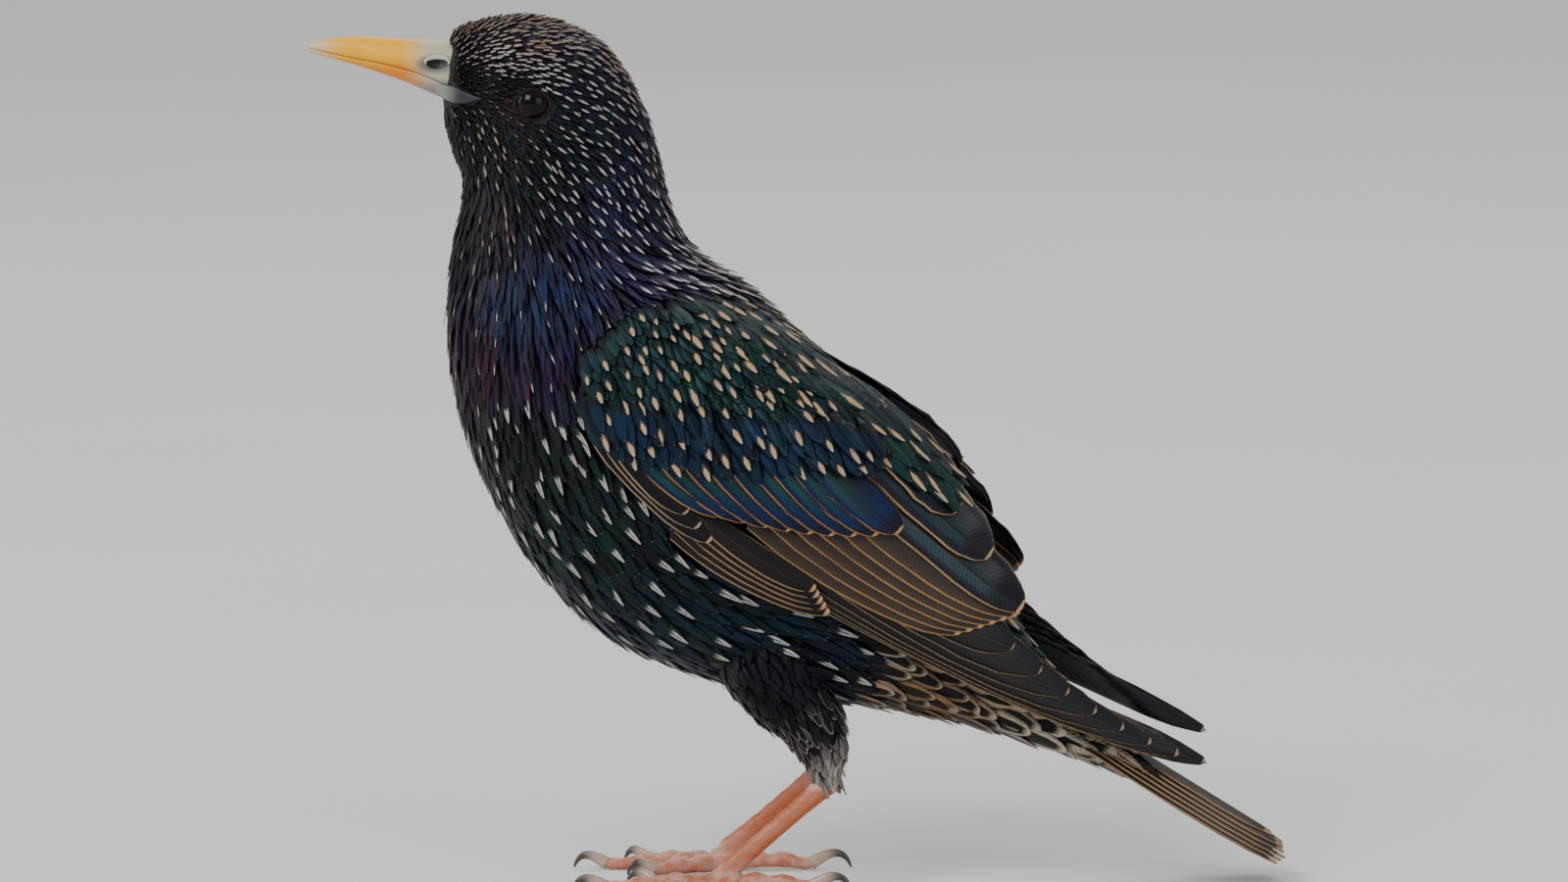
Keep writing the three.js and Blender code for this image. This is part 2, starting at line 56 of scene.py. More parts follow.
# %% Camera
CENTRING = 0.5  # millimetres that move the tables below to the middle of the solids' box
AIM = Vector((-2.75 + CENTRING, 0, 75.6)) * MM
DISTANCE = 3.0
ELEVATION = math.radians(7)
VIEW_WIDTH = 266.7 * MM
SENSOR = 36.0
camera = bpy.data.objects.new("camera", bpy.data.cameras.new("camera"))
bpy.context.collection.objects.link(camera)
camera.location = AIM + DISTANCE * Vector((0, -math.cos(ELEVATION), math.sin(ELEVATION)))
camera.rotation_euler = (math.pi / 2 - ELEVATION, 0, 0)
camera.data.sensor_width = SENSOR
camera.data.lens = SENSOR * DISTANCE / VIEW_WIDTH
camera.data.clip_start = 0.1
bpy.context.scene.camera = camera
print("lens", round(camera.data.lens), "mm")

# %% [markdown]
# Soft light comes from large area lamps, as on an overcast day, because glossy feathers show every small
# hard lamp as a white dot. A pale sky fills the shadows, and a plain floor carries the feet.

# %% Lights and floor
# name: place in metres, size in metres, power in watts
LAMPS = {
    "key": ((-0.9, -1.1, 1.3), 0.9, 26),
    "fill": ((1.2, -1.3, 0.7), 1.2, 9),
    "top_back": ((0.3, 1.0, 1.4), 0.9, 11),
    "front": ((-1.5, 0.2, 0.5), 0.8, 6),
}
SKY_COLOR = (0.86, 0.88, 0.9, 1)
SKY_STRENGTH = 0.55
FLOOR_SIZE = 8


def area_light(name, place, size, power):
    """A square lamp that is turned to the bird."""
    light = bpy.data.lights.new(name, "AREA")
    light.size = size
    light.energy = power
    lamp = bpy.data.objects.new(name, light)
    bpy.context.collection.objects.link(lamp)
    lamp.location = place
    lamp.rotation_euler = (AIM - Vector(place)).to_track_quat("-Z", "Y").to_euler()


for name, (place, size, power) in LAMPS.items():
    area_light(name, place, size, power)

world = bpy.data.worlds.new("studio")
bpy.context.scene.world = world
world.use_nodes = True
sky = world.node_tree.nodes["Background"]
sky.inputs["Color"].default_value = SKY_COLOR
sky.inputs["Strength"].default_value = SKY_STRENGTH

bpy.ops.object.select_all(action="DESELECT")
bpy.ops.mesh.primitive_plane_add(size=FLOOR_SIZE, location=(0, 0, 0))
floor = bpy.context.object
floor.name = "floor"
print(len(LAMPS), "lamps, floor", FLOOR_SIZE, "m wide")

# %% [markdown]
# Every surface needs a material that is more than one colour. A few short helpers keep the node graphs
# readable: one adds a node and links its inputs, one makes a soft step, and one mixes two colours.

# %% Helpers for materials
def material(name, **principled):
    """A material, and its tree and Principled shader with the values set on the sockets."""
    made = bpy.data.materials.new(name)
    made.use_nodes = True
    shader = made.node_tree.nodes["Principled BSDF"]
    for key, value in principled.items():
        shader.inputs[key.replace("_", " ")].default_value = value
    return made, made.node_tree, shader


def add_node(tree, kind, links=None, **settings):
    """A node of a kind; links maps an input to a socket, a number or a colour."""
    node = tree.nodes.new(kind)
    for key, value in settings.items():
        setattr(node, key, value)
    for key, value in (links or {}).items():
        socket = node.inputs[key]
        if isinstance(value, bpy.types.NodeSocket):
            tree.links.new(value, socket)
        else:
            socket.default_value = (*value, 1) if socket.type == "RGBA" else value
    return node


def maths(tree, operation, a, b=0.0, c=0.0):
    return add_node(tree, "ShaderNodeMath", {0: a, 1: b, 2: c}, operation=operation).outputs[0]


def soft_step(tree, value, low, high):
    """0 below low, 1 above high, smooth between; low may be above high."""
    links = {"Value": value, "From Min": low, "From Max": high}
    node = add_node(tree, "ShaderNodeMapRange", links, interpolation_type="SMOOTHSTEP")
    return node.outputs["Result"]


def blend_colors(tree, share, a, b, mode="MIX"):
    node = add_node(tree, "ShaderNodeMix", {0: share, 6: a, 7: b}, data_type="RGBA", blend_type=mode)
    return node.outputs[2]


def noise(tree, scale, detail=2.0, vector=None):
    """Fine noise on Object coordinates, which are metres on the part."""
    if vector is None:
        vector = add_node(tree, "ShaderNodeTexCoord").outputs["Object"]
    links = {"Vector": vector, "Scale": scale, "Detail": detail}
    return add_node(tree, "ShaderNodeTexNoise", links).outputs["Fac"]


def bump(tree, shader, height, strength, distance):
    node = add_node(tree, "ShaderNodeBump", {"Height": height, "Strength": strength, "Distance": distance})
    tree.links.new(node.outputs["Normal"], shader.inputs["Normal"])


def point_on_part(tree):
    """The point's x, y and z on the part, in metres."""
    place = add_node(tree, "ShaderNodeTexCoord").outputs["Object"]
    return add_node(tree, "ShaderNodeSeparateXYZ", {0: place}).outputs


def attribute(tree, name):
    """The sockets of a colour that the mesh carries under a name."""
    return add_node(tree, "ShaderNodeAttribute", attribute_name=name).outputs


print("helpers for materials are ready")

# %% [markdown]
# The body of a bird under its feathers is a long egg with a neck. We describe it as the wooden core of a
# carved decoy would be: sections across it, each with a top point, a bottom point and a half width. The
# folded wings lie on a second, slightly larger shell of the same kind.

# %% Sections of the body and of the wing shell
# top x z, bottom x z, half width, in millimetres, from the face to the tail
BODY = [
    (-60, 144.5, -61, 134, 4.2),
    (-57, 147, -61, 132, 6.5),
    (-52, 148.6, -60.5, 130, 8.6),
    (-46, 149, -60, 128, 9.7),
    (-39.5, 147.5, -59.5, 126.3, 10.4),
    (-33, 144, -59, 124.3, 11.1),
    (-28.5, 138, -58, 121.8, 11.7),
    (-25.5, 131.5, -57.6, 119, 12.2),
    (-23.5, 124.5, -58, 115.5, 12.6),
    (-22, 117, -59, 111, 13.5),
    (-19.5, 110, -59.6, 105, 15.5),
    (-16, 106, -60, 97.5, 18.5),
    (-9.5, 102, -59.6, 90, 21),
    (-2, 96, -58.3, 82, 22.6),
    (5.5, 89.5, -56, 73.5, 23.3),
    (13, 82, -52.3, 64.5, 23),
    (19, 74, -47, 55.5, 22),
    (24, 66, -40, 47.5, 20.3),
    (29, 58, -31, 40.5, 18),
    (34, 50, -19.5, 35.5, 15.6),
    (39, 42.8, -6, 32, 13.2),
    (44, 36.3, 7, 30.6, 11.2),
    (48.5, 31.5, 20, 28.6, 9.6),
    (51.5, 28.8, 32, 25.6, 8.3),
    (53, 27.3, 45, 21.5, 7.2),
    (54, 26.3, 57, 17, 6),
    (58, 22.5, 68, 9.5, 5.6),
    (64, 17.5, 77, 3.5, 5.4),
]
BODY_END = 25  # the skin's last station; the rows after it only guide the curve
WING_SHELL = [
    (-16, 108.5, -60, 97.5, 20),
    (-9.5, 103.5, -59.5, 90, 23),
    (-2, 97.5, -58.5, 82, 24.6),
    (5.5, 90.5, -56, 73.5, 25.3),
    (13, 84, -52.5, 64.5, 25.2),
    (20, 76.5, -47, 55.5, 24.6),
    (26.5, 69, -40, 47.5, 23.4),
    (33, 61.5, -31, 40.5, 21.9),
    (40, 53, -19.5, 33.5, 20),
    (46.5, 44.5, -6, 26, 18),
    (54, 36, 7, 18.5, 16),
    (61.5, 28.5, 22, 12, 14),
    (70, 21, 39, 5, 12),
    (79, 13.5, 55.5, -1.5, 10.5),
]
FULLNESS = 2.15  # 2 makes a section an ellipse, and more makes it squarer
BODY = np.array(BODY, float)
WING_SHELL = np.array(WING_SHELL, float)


def section(table, s):
    """Rows of the table at stations s, on a smooth curve through the given rows."""
    s = np.asarray(s, float)
    ends = np.vstack([2 * table[0] - table[1], table, 2 * table[-1] - table[-2]])
    i = np.clip(np.floor(s), 0, len(table) - 2).astype(int)
    t = (s - i)[..., None]
    before, here, after, beyond = (ends[i + k] for k in range(4))
    slope_here = (after - before) / 2
    slope_after = (beyond - here) / 2
    return (
        here * (2 * t**3 - 3 * t**2 + 1)
        + slope_here * (t**3 - 2 * t**2 + t)
        + after * (3 * t**2 - 2 * t**3)
        + slope_after * (t**3 - t**2)
    )


def rounded(value):
    return np.sign(value) * np.abs(value) ** (2 / FULLNESS)


def surface(table, s, angle, grow=0.0):
    """Points on the loft; angle 0 is the back, a quarter turn is the bird's right side."""
    rows = section(table, s)
    top = rows[..., 0:2]
    low = rows[..., 2:4]
    up = top - low
    length = np.linalg.norm(up, axis=-1, keepdims=True)
    middle = (top + low) / 2
    reach = (length / 2 + np.asarray(grow)[..., None]) * rounded(np.cos(angle))[..., None]
    flat = middle + up / length * reach
    y = (rows[..., 4] + grow) * rounded(np.sin(angle))
    return np.stack([flat[..., 0] + CENTRING, y, flat[..., 1]], axis=-1)


print("body", BODY_END + 1, "sections, wing shell", len(WING_SHELL))

# %% [markdown]
# Skin, bill, toes and claws are all long closed forms. A ball is the simplest closed mesh with rings and
# poles, so each of them starts as a ball, and every vertex is moved to its place by its ring and its angle.

# %% A ball drawn out to a form
def deselect_all():
    bpy.ops.object.select_all(action="DESELECT")


def drawn_ball(name, segments, rings, place):
    """A ball whose vertices go to place(share along, angle), in millimetres, with smooth faces."""
    deselect_all()
    bpy.ops.mesh.primitive_uv_sphere_add(segments=segments, ring_count=rings, radius=1)
    piece = bpy.context.object
    piece.name = piece.data.name = name
    ball = np.array([v.co for v in piece.data.vertices])
    along = np.arccos(np.clip(ball[:, 2], -1, 1)) / math.pi
    angle = np.arctan2(ball[:, 1], ball[:, 0])
    ring_step = 1 / rings
    share = np.clip((along - ring_step) / (1 - 2 * ring_step), 0, 1)
    places = place(share, angle)
    around = np.linspace(0, 2 * math.pi, segments, endpoint=False)
    for pole, at in ((along < ring_step / 2, 0.0), (along > 1 - ring_step / 2, 1.0)):
        places[pole] = place(np.full(segments, at), around).mean(axis=0)
    piece.data.vertices.foreach_set("co", (places * MM).astype(np.float32).ravel())
    layer = piece.data.color_attributes.new("share", "FLOAT_COLOR", "POINT")
    layer.data.foreach_set("color", np.repeat(share, 4).astype(np.float32))
    bpy.ops.object.mode_set(mode="EDIT")
    bpy.ops.mesh.select_all(action="SELECT")
    bpy.ops.mesh.normals_make_consistent(inside=False)
    bpy.ops.object.mode_set(mode="OBJECT")
    bpy.ops.object.shade_smooth()
    return piece


def joined(name, pieces):
    """The pieces as one closed mesh."""
    deselect_all()
    whole = pieces[0]
    bpy.context.view_layer.objects.active = whole
    for other in pieces[1:]:
        cut = whole.modifiers.new("join", "BOOLEAN")
        cut.operation = "UNION"
        cut.solver = "EXACT"
        cut.object = other
        bpy.ops.object.modifier_apply(modifier=cut.name)
        bpy.data.objects.remove(other)
    whole.name = whole.data.name = name
    return whole


print("a ball can be drawn out to a form, and forms can be joined")

# %% [markdown]
# The bare skin is hardly seen, but it must close every chink between the feathers. It lies a millimetre
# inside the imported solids, which is the depth of the coat, and a little deeper behind the bill, so that
# the face stays slim. Body and thighs are one mesh, as on the bird.

# %% Skin of the body and the thighs
COAT_DEPTH = 1.1
BILL_ROOM = 1.0
BILL_ROOM_END = 1.5  # the station where the skin has its full width again
THIGH_COAT_DEPTH = 0.6
SIDES = {"left": -1, "right": 1}
LEG_SPREAD = 11.0
# the thigh: back x z, front x z, half width, distance from the middle plane
THIGH = np.array(
    [
        (-3.5, 49.5, -15.5, 43, 5.5, 6.5),
        (1.5, 44.3, -13.5, 35.7, 7.3, 8.5),
        (4.5, 37, -7.7, 29, 6, 9),
        (6.7, 30.8, -2.7, 25.2, 4.6, 10),
        (8.2, 24.3, 0.4, 21.7, 3.4, 11),
        (7.5, 20.2, 1.9, 18.8, 2.5, 11),
    ],
    float,
)


def thigh_surface(side):
    def at(table, s, angle, grow=0.0):
        points = surface(table, s, angle, grow)
        points[..., 1] += side * section(table, s)[..., 5]
        return points

    return at


def body_place(share, angle):
    s = share * BODY_END
    return surface(BODY, s, angle, -COAT_DEPTH - BILL_ROOM * np.clip(BILL_ROOM_END - s, 0, 1))


def thigh_place(side):
    def place(share, angle):
        depth = np.full(share.shape, -THIGH_COAT_DEPTH)
        return thigh_surface(side)(THIGH, share * (len(THIGH) - 1), angle, depth)

    return place


def make_skin():
    body = drawn_ball("skin", 40, 72, body_place)
    thighs = [drawn_ball("thigh", 20, 16, thigh_place(side)) for side in SIDES.values()]
    return joined("skin", [body, *thighs])


skin = make_skin()
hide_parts("head", "neck", "torso", "rump", "thigh_left", "thigh_right")
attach(skin, "root")
print("skin", len(skin.data.polygons), "faces")

# %% [markdown]
# Between the feathers the skin shows as dark down. Down is a felt of fine dark fibres, so the finish is
# rough, nearly black, with a fine uneven bump.

# %% Finish of the skin
down_material, tree, shader = material("down", Roughness=0.9)
fibres = noise(tree, 900, 3)
down_color = blend_colors(tree, fibres, (0.006, 0.006, 0.008), (0.02, 0.018, 0.02))
tree.links.new(down_color, shader.inputs["Base Color"])
bump(tree, shader, fibres, 0.4, 0.0004)
skin.data.materials.append(down_material)
print("finish of the skin:", down_material.name)

# %% [markdown]
# A feather is a thin vane with a shaft. Thousands of them make the coat, so one feather has only five
# rings of six points and a point at each end: a closed lens, thin at its edges. All feathers of a region
# go into one mesh, made from arrays, because thousands of separate objects would be slow.

# %% One mesh from many closed vanes
def ring_triangles(rings, sides):
    """Triangles of a closed form: rings of points, then the start point and the end point."""
    faces = []
    for r in range(rings - 1):
        for k in range(sides):
            n = (k + 1) % sides
            a, b, c, d = r * sides + k, r * sides + n, (r + 1) * sides + k, (r + 1) * sides + n
            faces += [(a, b, d), (a, d, c)]
    start, end = rings * sides, rings * sides + 1
    last = (rings - 1) * sides
    for k in range(sides):
        n = (k + 1) % sides
        faces += [(start, n, k), (end, last + k, last + n)]
    return np.array(faces)


def vane_mesh(name, points, triangles, maps, colors):
    """points is (vanes, vertices, 3) in mm; maps are UV maps, colors are attributes per vane."""
    count, size = points.shape[:2]
    corners = (triangles.reshape(1, -1) + np.arange(count)[:, None] * size).ravel()
    mesh = bpy.data.meshes.new(name)
    mesh.vertices.add(count * size)
    mesh.vertices.foreach_set("co", (points * MM).astype(np.float32).ravel())
    mesh.loops.add(len(corners))
    mesh.loops.foreach_set("vertex_index", corners.astype(np.int32))
    mesh.polygons.add(len(corners) // 3)
    mesh.polygons.foreach_set("loop_start", np.arange(0, len(corners), 3, dtype=np.int32))
    mesh.polygons.foreach_set("use_smooth", np.ones(len(corners) // 3, bool))
    mesh.update(calc_edges=True)
    for key, uv in maps.items():
        layer = mesh.uv_layers.new(name=key)
        layer.data.foreach_set("uv", uv.reshape(-1, 2)[corners].astype(np.float32).ravel())
    for key, rgba in colors.items():
        layer = mesh.color_attributes.new(key, "FLOAT_COLOR", "POINT")
        layer.data.foreach_set("color", np.repeat(rgba, size, axis=0).astype(np.float32).ravel())
    piece = bpy.data.objects.new(name, mesh)
    bpy.context.collection.objects.link(piece)
    return piece


print("five rings of six points make", len(ring_triangles(5, 6)), "triangles")

# %% [markdown]
# Each feather starts at its root in the skin and walks over the surface, a short step for each ring, so
# that it stays laid along the body where the body bends. Its height over the skin grows towards its tip,
# and so every tip lies on the roots behind it, as tiles do.

# %% Lay small feathers along a surface
RING_SHARES = np.array([0.2, 0.45, 0.7, 0.88, 0.97])
ROUND_FORM = np.array([0.62, 0.95, 1.0, 0.8, 0.45])
LANCE_FORM = np.array([0.75, 1.0, 0.74, 0.4, 0.16])
ACROSS = np.array([-1, -0.5, 0, 0.5, 1, 0])
DROOP = np.array([-0.2, -0.06, 0, -0.06, -0.2, 0])
UNDERSIDE = np.array([0, 0, 0, 0, 0, 1])  # the last point of a ring lies under the shaft
FRAY = 0.07
VANE_THICK = 0.12
SURFACE_STEP = 0.02  # stations and radians, to measure the surface's slope
BAKE_PATCH = 0.003
SMALL_FACES = ring_triangles(len(RING_SHARES), len(ACROSS))


def frame_at(at, table, s, angle):
    """Point, the two directions of the surface, and its outward normal."""
    step = SURFACE_STEP
    level = np.zeros(s.shape)
    here = at(table, s, angle, level)
    ds = (at(table, s + step, angle, level) - at(table, s - step, angle, level)) / (2 * step)
    da = (at(table, s, angle + step, level) - at(table, s, angle - step, level)) / (2 * step)
    normal = np.cross(ds, da)
    normal /= np.linalg.norm(normal, axis=1, keepdims=True) + 1e-9
    return here, ds, da, normal


def unit(vectors):
    return vectors / (np.linalg.norm(vectors, axis=-1, keepdims=True) + 1e-9)


def small_feathers(name, at, table, s, angle, look, seed, bake_rows):
    """look holds arrays per feather: heading, length, width, point, lift, turn, base, tint, spot."""
    rng = np.random.default_rng(seed)
    count = len(s)
    root_s, root_a = s.copy(), angle.copy()
    rings = []
    steer = np.linalg.norm(look["heading"], axis=1, keepdims=True)
    for number, share in enumerate([0.0, *RING_SHARES, 1.0]):
        point, ds, da, normal = frame_at(at, table, s, angle)
        wanted = look["heading"] - normal * (normal * look["heading"]).sum(1)[:, None]
        flow = unit(unit(ds) * (1 - steer) + unit(wanted) * steer)
        side = np.cross(normal, flow)
        turn = look["turn"][:, None]
        heading = unit(flow * np.cos(turn) + side * np.sin(turn))
        height = look["base"] + look["lift"] * share**0.8
        middle = point + normal * height[:, None]
        across = unit(np.cross(normal, heading))
        if number == 0:
            start = middle
        elif share == 1.0:
            end = middle
        else:
            k = number - 1
            form = ROUND_FORM[k] + (LANCE_FORM[k] - ROUND_FORM[k]) * look["point"]
            half = look["width"] / 2 * form
            fray = 1 + rng.normal(0, FRAY, (count, len(ACROSS))) * np.abs(ACROSS)
            drop = DROOP * half[:, None] - UNDERSIDE * VANE_THICK
            ring = (
                middle[:, None]
                + across[:, None] * (ACROSS * fray * half[:, None])[..., None]
                + normal[:, None] * drop[..., None]
            )
            rings.append(ring)
        if share < 1.0:
            following = [*RING_SHARES, 1.0][number]
            travel = heading * ((following - share) * look["length"])[:, None]
            ss, sa, aa = (ds * ds).sum(1), (ds * da).sum(1), (da * da).sum(1)
            ts, ta = (travel * ds).sum(1), (travel * da).sum(1)
            det = ss * aa - sa * sa + 1e-9
            s = s + (ts * aa - ta * sa) / det
            angle = angle + (ta * ss - ts * sa) / det
    points = np.concatenate([*rings, start[:, None], end[:, None]], axis=1)
    shares = np.concatenate([np.repeat(RING_SHARES, len(ACROSS)), [0, 1]])
    sides = np.concatenate([np.tile(ACROSS, len(RING_SHARES)), [0, 0]])
    vane = np.tile(np.stack([shares, sides / 2 + 0.5], axis=1), (count, 1, 1))
    patch_at = np.stack([root_a / (2 * math.pi) % 1.0, root_s / bake_rows], axis=1)
    bake = patch_at[:, None] * 0.99 + (vane - 0.5) * BAKE_PATCH + 0.005
    colors = {key: look[key] for key in ("tint", "spot")}
    return vane_mesh(name, points, SMALL_FACES, {"vane": vane, "OFBake": bake}, colors)


print("a small feather has", len(SMALL_FACES), "triangles")

# %% [markdown]
# Where does each feather go? Points are thrown at the surface at random, and a point is kept only when no
# kept one is too near. The least distance follows the feathers' size there, so the face gets many tiny
# feathers and the belly fewer large ones, with no rows to be seen.

# %% Spread the roots
CELL = 6.0  # millimetres; no gap is wider, so only neighbouring cells are searched


def apart_by(points, gaps):
    """True for the points that are kept when each needs its own least distance to those kept before."""
    grid = {}
    kept = np.zeros(len(points), bool)
    cells = (points // CELL).astype(int)
    around = [(i, j, k) for i in (-1, 0, 1) for j in (-1, 0, 1) for k in (-1, 0, 1)]
    for i, (point, gap) in enumerate(zip(points, gaps)):
        x, y, z = cells[i]
        near = [j for dx, dy, dz in around for j in grid.get((x + dx, y + dy, z + dz), ())]
        if not near or np.min(((points[near] - point) ** 2).sum(axis=1)) >= gap * gap:
            kept[i] = True
            grid.setdefault((x, y, z), []).append(i)
    return kept


def spread(at, table, s_range, a_range, spacing, tries, seed, keep=None):
    """Stations and angles of roots, no two nearer than spacing(points) in millimetres."""
    rng = np.random.default_rng(seed)
    s = rng.uniform(*s_range, tries)
    angle = rng.uniform(*a_range, tries)
    points = at(table, s, angle, np.zeros(tries))
    if keep is not None:
        inside = keep(points, s, angle)
        s, angle, points = s[inside], angle[inside], points[inside]
    kept = apart_by(points, spacing(points))
    return s[kept], angle[kept], points[kept]


print("roots are sorted into cells of", CELL, "mm")

# %% [markdown]
# A starling in fresh plumage is dark and glossy: purple on crown and nape, green on back and cheeks, blue
# on the flanks, with a pale tip on nearly every feather. The plumage is written down as a short list of
# marks, each a place on the side or on the middle line with the feather that grows there. Every feather
# takes its size and colours from the marks nearest to it.

# %% The plumage, mark by mark
# name, x, z, on the side (1) or middle line (0), how steeply the feathers point down and back in degrees,
# length, width, pointed, lift, gap between spots, tint in thousandths, spot colour, spot length, spot kind
DROP, DASHES, RIM = 0.0, 0.5, 1.0
BUFF = (0.5, 0.31, 0.16)
BROWN = (0.25, 0.135, 0.06)
GREY = (0.33, 0.32, 0.3)
WHITE = (0.56, 0.54, 0.5)
PLUMAGE = [
    ("lores", -57.5, 138.6, 1, -8, 2.2, 0.9, 0.3, 0.5, 1.2, (2, 2, 2), (0.01, 0.01, 0.01), 0.03, DROP),
    ("before the eye", -51, 137.4, 1, -5, 2.2, 0.9, 0.3, 0.6, 1.2, (2, 2, 2), (0.01, 0.01, 0.01), 0.03, DROP),
    ("forehead", -57, 146, 0, 0, 2.6, 1.0, 0.4, 0.8, 0.6, (16, 9, 12), (0.26, 0.155, 0.08), 0.66, DROP),
    ("crown", -46, 149, 0, 5, 3.6, 1.3, 0.4, 0.9, 0.85, (18, 8, 20), BROWN, 0.55, DROP),
    ("crown side", -47, 145, 1, 5, 3.3, 1.2, 0.4, 0.8, 0.85, (14, 9, 24), (0.25, 0.155, 0.09), 0.52, DROP),
    ("hind crown", -34, 145, 0, 38, 4.2, 1.8, 0.4, 0.9, 1.3, (14, 10, 30), BROWN, 0.42, DROP),
    ("brow front", -56.5, 142.3, 1, -5, 2.2, 0.8, 0.5, 0.7, 0.7, (10, 8, 10), (0.32, 0.26, 0.2), 0.55, DROP),
    ("brow", -52, 141.6, 1, 5, 2.6, 0.9, 0.5, 0.8, 0.6, (10, 9, 12), (0.5, 0.46, 0.42), 0.65, DROP),
    ("over eye", -45, 139.8, 1, 15, 2.8, 0.9, 0.5, 0.8, 0.75, (8, 10, 14), (0.48, 0.46, 0.43), 0.65, DROP),
    ("behind the eye", -38.5, 136.5, 1, 22, 3.6, 1.1, 0.4, 0.8, 1.4, (6, 10, 18), GREY, 0.38, DROP),
    ("ear", -41, 131, 1, 22, 3.8, 1.1, 0.4, 0.9, 1.35, (4, 12, 12), GREY, 0.38, DROP),
    ("cheek", -44, 125.5, 1, 42, 4.2, 1.15, 0.5, 0.9, 1.3, (4, 10, 10), GREY, 0.4, DROP),
    ("under eye", -48.5, 131, 1, 30, 2.6, 1.0, 0.5, 0.7, 2.4, (10, 11, 12), (0.18, 0.17, 0.16), 0.3, DROP),
    ("eye front", -49.3, 133.4, 1, 10, 2, 0.8, 0.4, 0.5, 1.6, (26, 20, 20), (0.04, 0.035, 0.035), 0.03, DROP),
    ("bill corner", -54, 130, 1, 52, 3.0, 1.0, 0.6, 0.8, 1.5, (7, 7, 7), (0.3, 0.28, 0.24), 0.5, DROP),
    ("chin", -60, 129, 0, 75, 3.8, 1.2, 0.7, 0.7, 5.0, (6, 5, 6), (0.12, 0.1, 0.08), 0.2, DROP),
    ("throat", -58, 117, 0, 84, 8.0, 1.6, 0.95, 1.2, 6.0, (12, 6, 8), (0.16, 0.13, 0.1), 0.08, DROP),
    ("throat side", -52.5, 117, 1, 72, 6.5, 1.4, 0.9, 1.3, 2.2, (10, 8, 10), (0.25, 0.2, 0.15), 0.24, DROP),
    ("nape", -26, 128, 0, 75, 5.5, 1.9, 0.5, 1.1, 1.7, (15, 9, 30), (0.45, 0.36, 0.26), 0.24, DROP),
    ("neck side", -33, 121, 1, 50, 5.5, 1.7, 0.6, 1.1, 1.45, (10, 12, 35), (0.5, 0.48, 0.46), 0.25, DROP),
    ("neck base", -26, 110, 1, 45, 9.0, 2.0, 0.6, 2.8, 1.3, (12, 8, 34), WHITE, 0.2, DROP),
    ("hackles", -43, 107, 1, 72, 10.0, 1.6, 0.9, 1.7, 2.6, (8, 11, 42), WHITE, 0.12, DROP),
    ("hackle middle", -49, 104, 1, 84, 10.5, 1.6, 0.95, 1.7, 4.0, (6, 14, 40), WHITE, 0.12, DROP),
    ("hackle low", -45, 97, 1, 78, 10.5, 1.8, 0.95, 1.7, 3.2, (20, 8, 36), WHITE, 0.14, DROP),
    ("hackle front", -54, 99, 1, 86, 10.0, 1.7, 0.95, 1.1, 5.5, (24, 7, 18), (0.4, 0.34, 0.3), 0.13, DROP),
    ("breast front", -60, 98, 0, 88, 9.5, 2.2, 0.9, 1.1, 4.2, (14, 6, 7), WHITE, 0.16, DROP),
    ("breast", -50, 84, 1, 72, 9.5, 2.6, 0.85, 1.5, 3.4, (5, 12, 8), WHITE, 0.25, DASHES),
    ("breast low", -53, 68, 0, 55, 9.5, 3.0, 0.8, 1.0, 4.2, (4, 8, 7), WHITE, 0.22, DASHES),
    ("breast side", -41, 66, 1, 44, 10.5, 2.9, 0.8, 1.4, 4.2, (3, 13, 12), WHITE, 0.27, DASHES),
    ("wing bend", -37, 86, 1, 58, 8.5, 2.6, 0.8, 2.4, 2.4, (6, 14, 14), WHITE, 0.34, DASHES),
    ("flank", -22, 50, 1, 25, 12.0, 3.1, 0.8, 1.5, 4.4, (3, 13, 21), WHITE, 0.26, DASHES),
    ("under the wing", -9, 50, 1, 14, 12.0, 3.1, 0.8, 1.5, 4.4, (3, 12, 22), WHITE, 0.26, DASHES),
    ("belly", -22, 37, 0, 30, 11.0, 3.4, 0.8, 0.9, 4.2, (3, 5, 9), WHITE, 0.22, DASHES),
    ("belly side", -6, 39, 1, 12, 11.5, 3.2, 0.8, 1.4, 4.4, (3, 7, 13), WHITE, 0.25, DASHES),
    ("vent", 12, 32, 1, 20, 10.0, 4.0, 0.6, 1.4, 2.2, (12, 9, 7), (0.24, 0.12, 0.045), 0.3, RIM),
    ("undertail", 36, 25, 0, 25, 13.5, 6.0, 0.7, 1.4, 1.4, (6, 5, 5), (0.52, 0.45, 0.34), 0.4, RIM),
    ("undertail side", 40, 28, 1, 28, 13.0, 5.8, 0.7, 1.3, 1.4, (6, 5, 5), (0.5, 0.43, 0.33), 0.38, RIM),
    ("upper mantle", -18, 108, 0, 50, 9.0, 2.2, 0.7, 2.4, 1.8, (10, 12, 22), (0.5, 0.42, 0.32), 0.34, DROP),
    ("mantle side", -16, 101, 1, 58, 9.0, 2.8, 0.6, 1.8, 2.3, (6, 18, 20), BUFF, 0.34, DROP),
    ("mantle", -2, 95, 0, 50, 9.5, 3.6, 0.5, 1.3, 3.2, (5, 22, 18), BUFF, 0.3, DROP),
    ("back", 13, 80, 0, 48, 10.0, 4.0, 0.4, 1.3, 3.8, (5, 20, 18), BUFF, 0.28, DROP),
    ("rump", 34, 50, 0, 45, 10.5, 4.8, 0.3, 1.3, 4.4, (6, 18, 16), BUFF, 0.22, DROP),
    ("tail coverts", 52, 29, 0, 38, 12.0, 5.4, 0.3, 1.2, 3.6, (9, 15, 14), BUFF, 0.26, DROP),
]


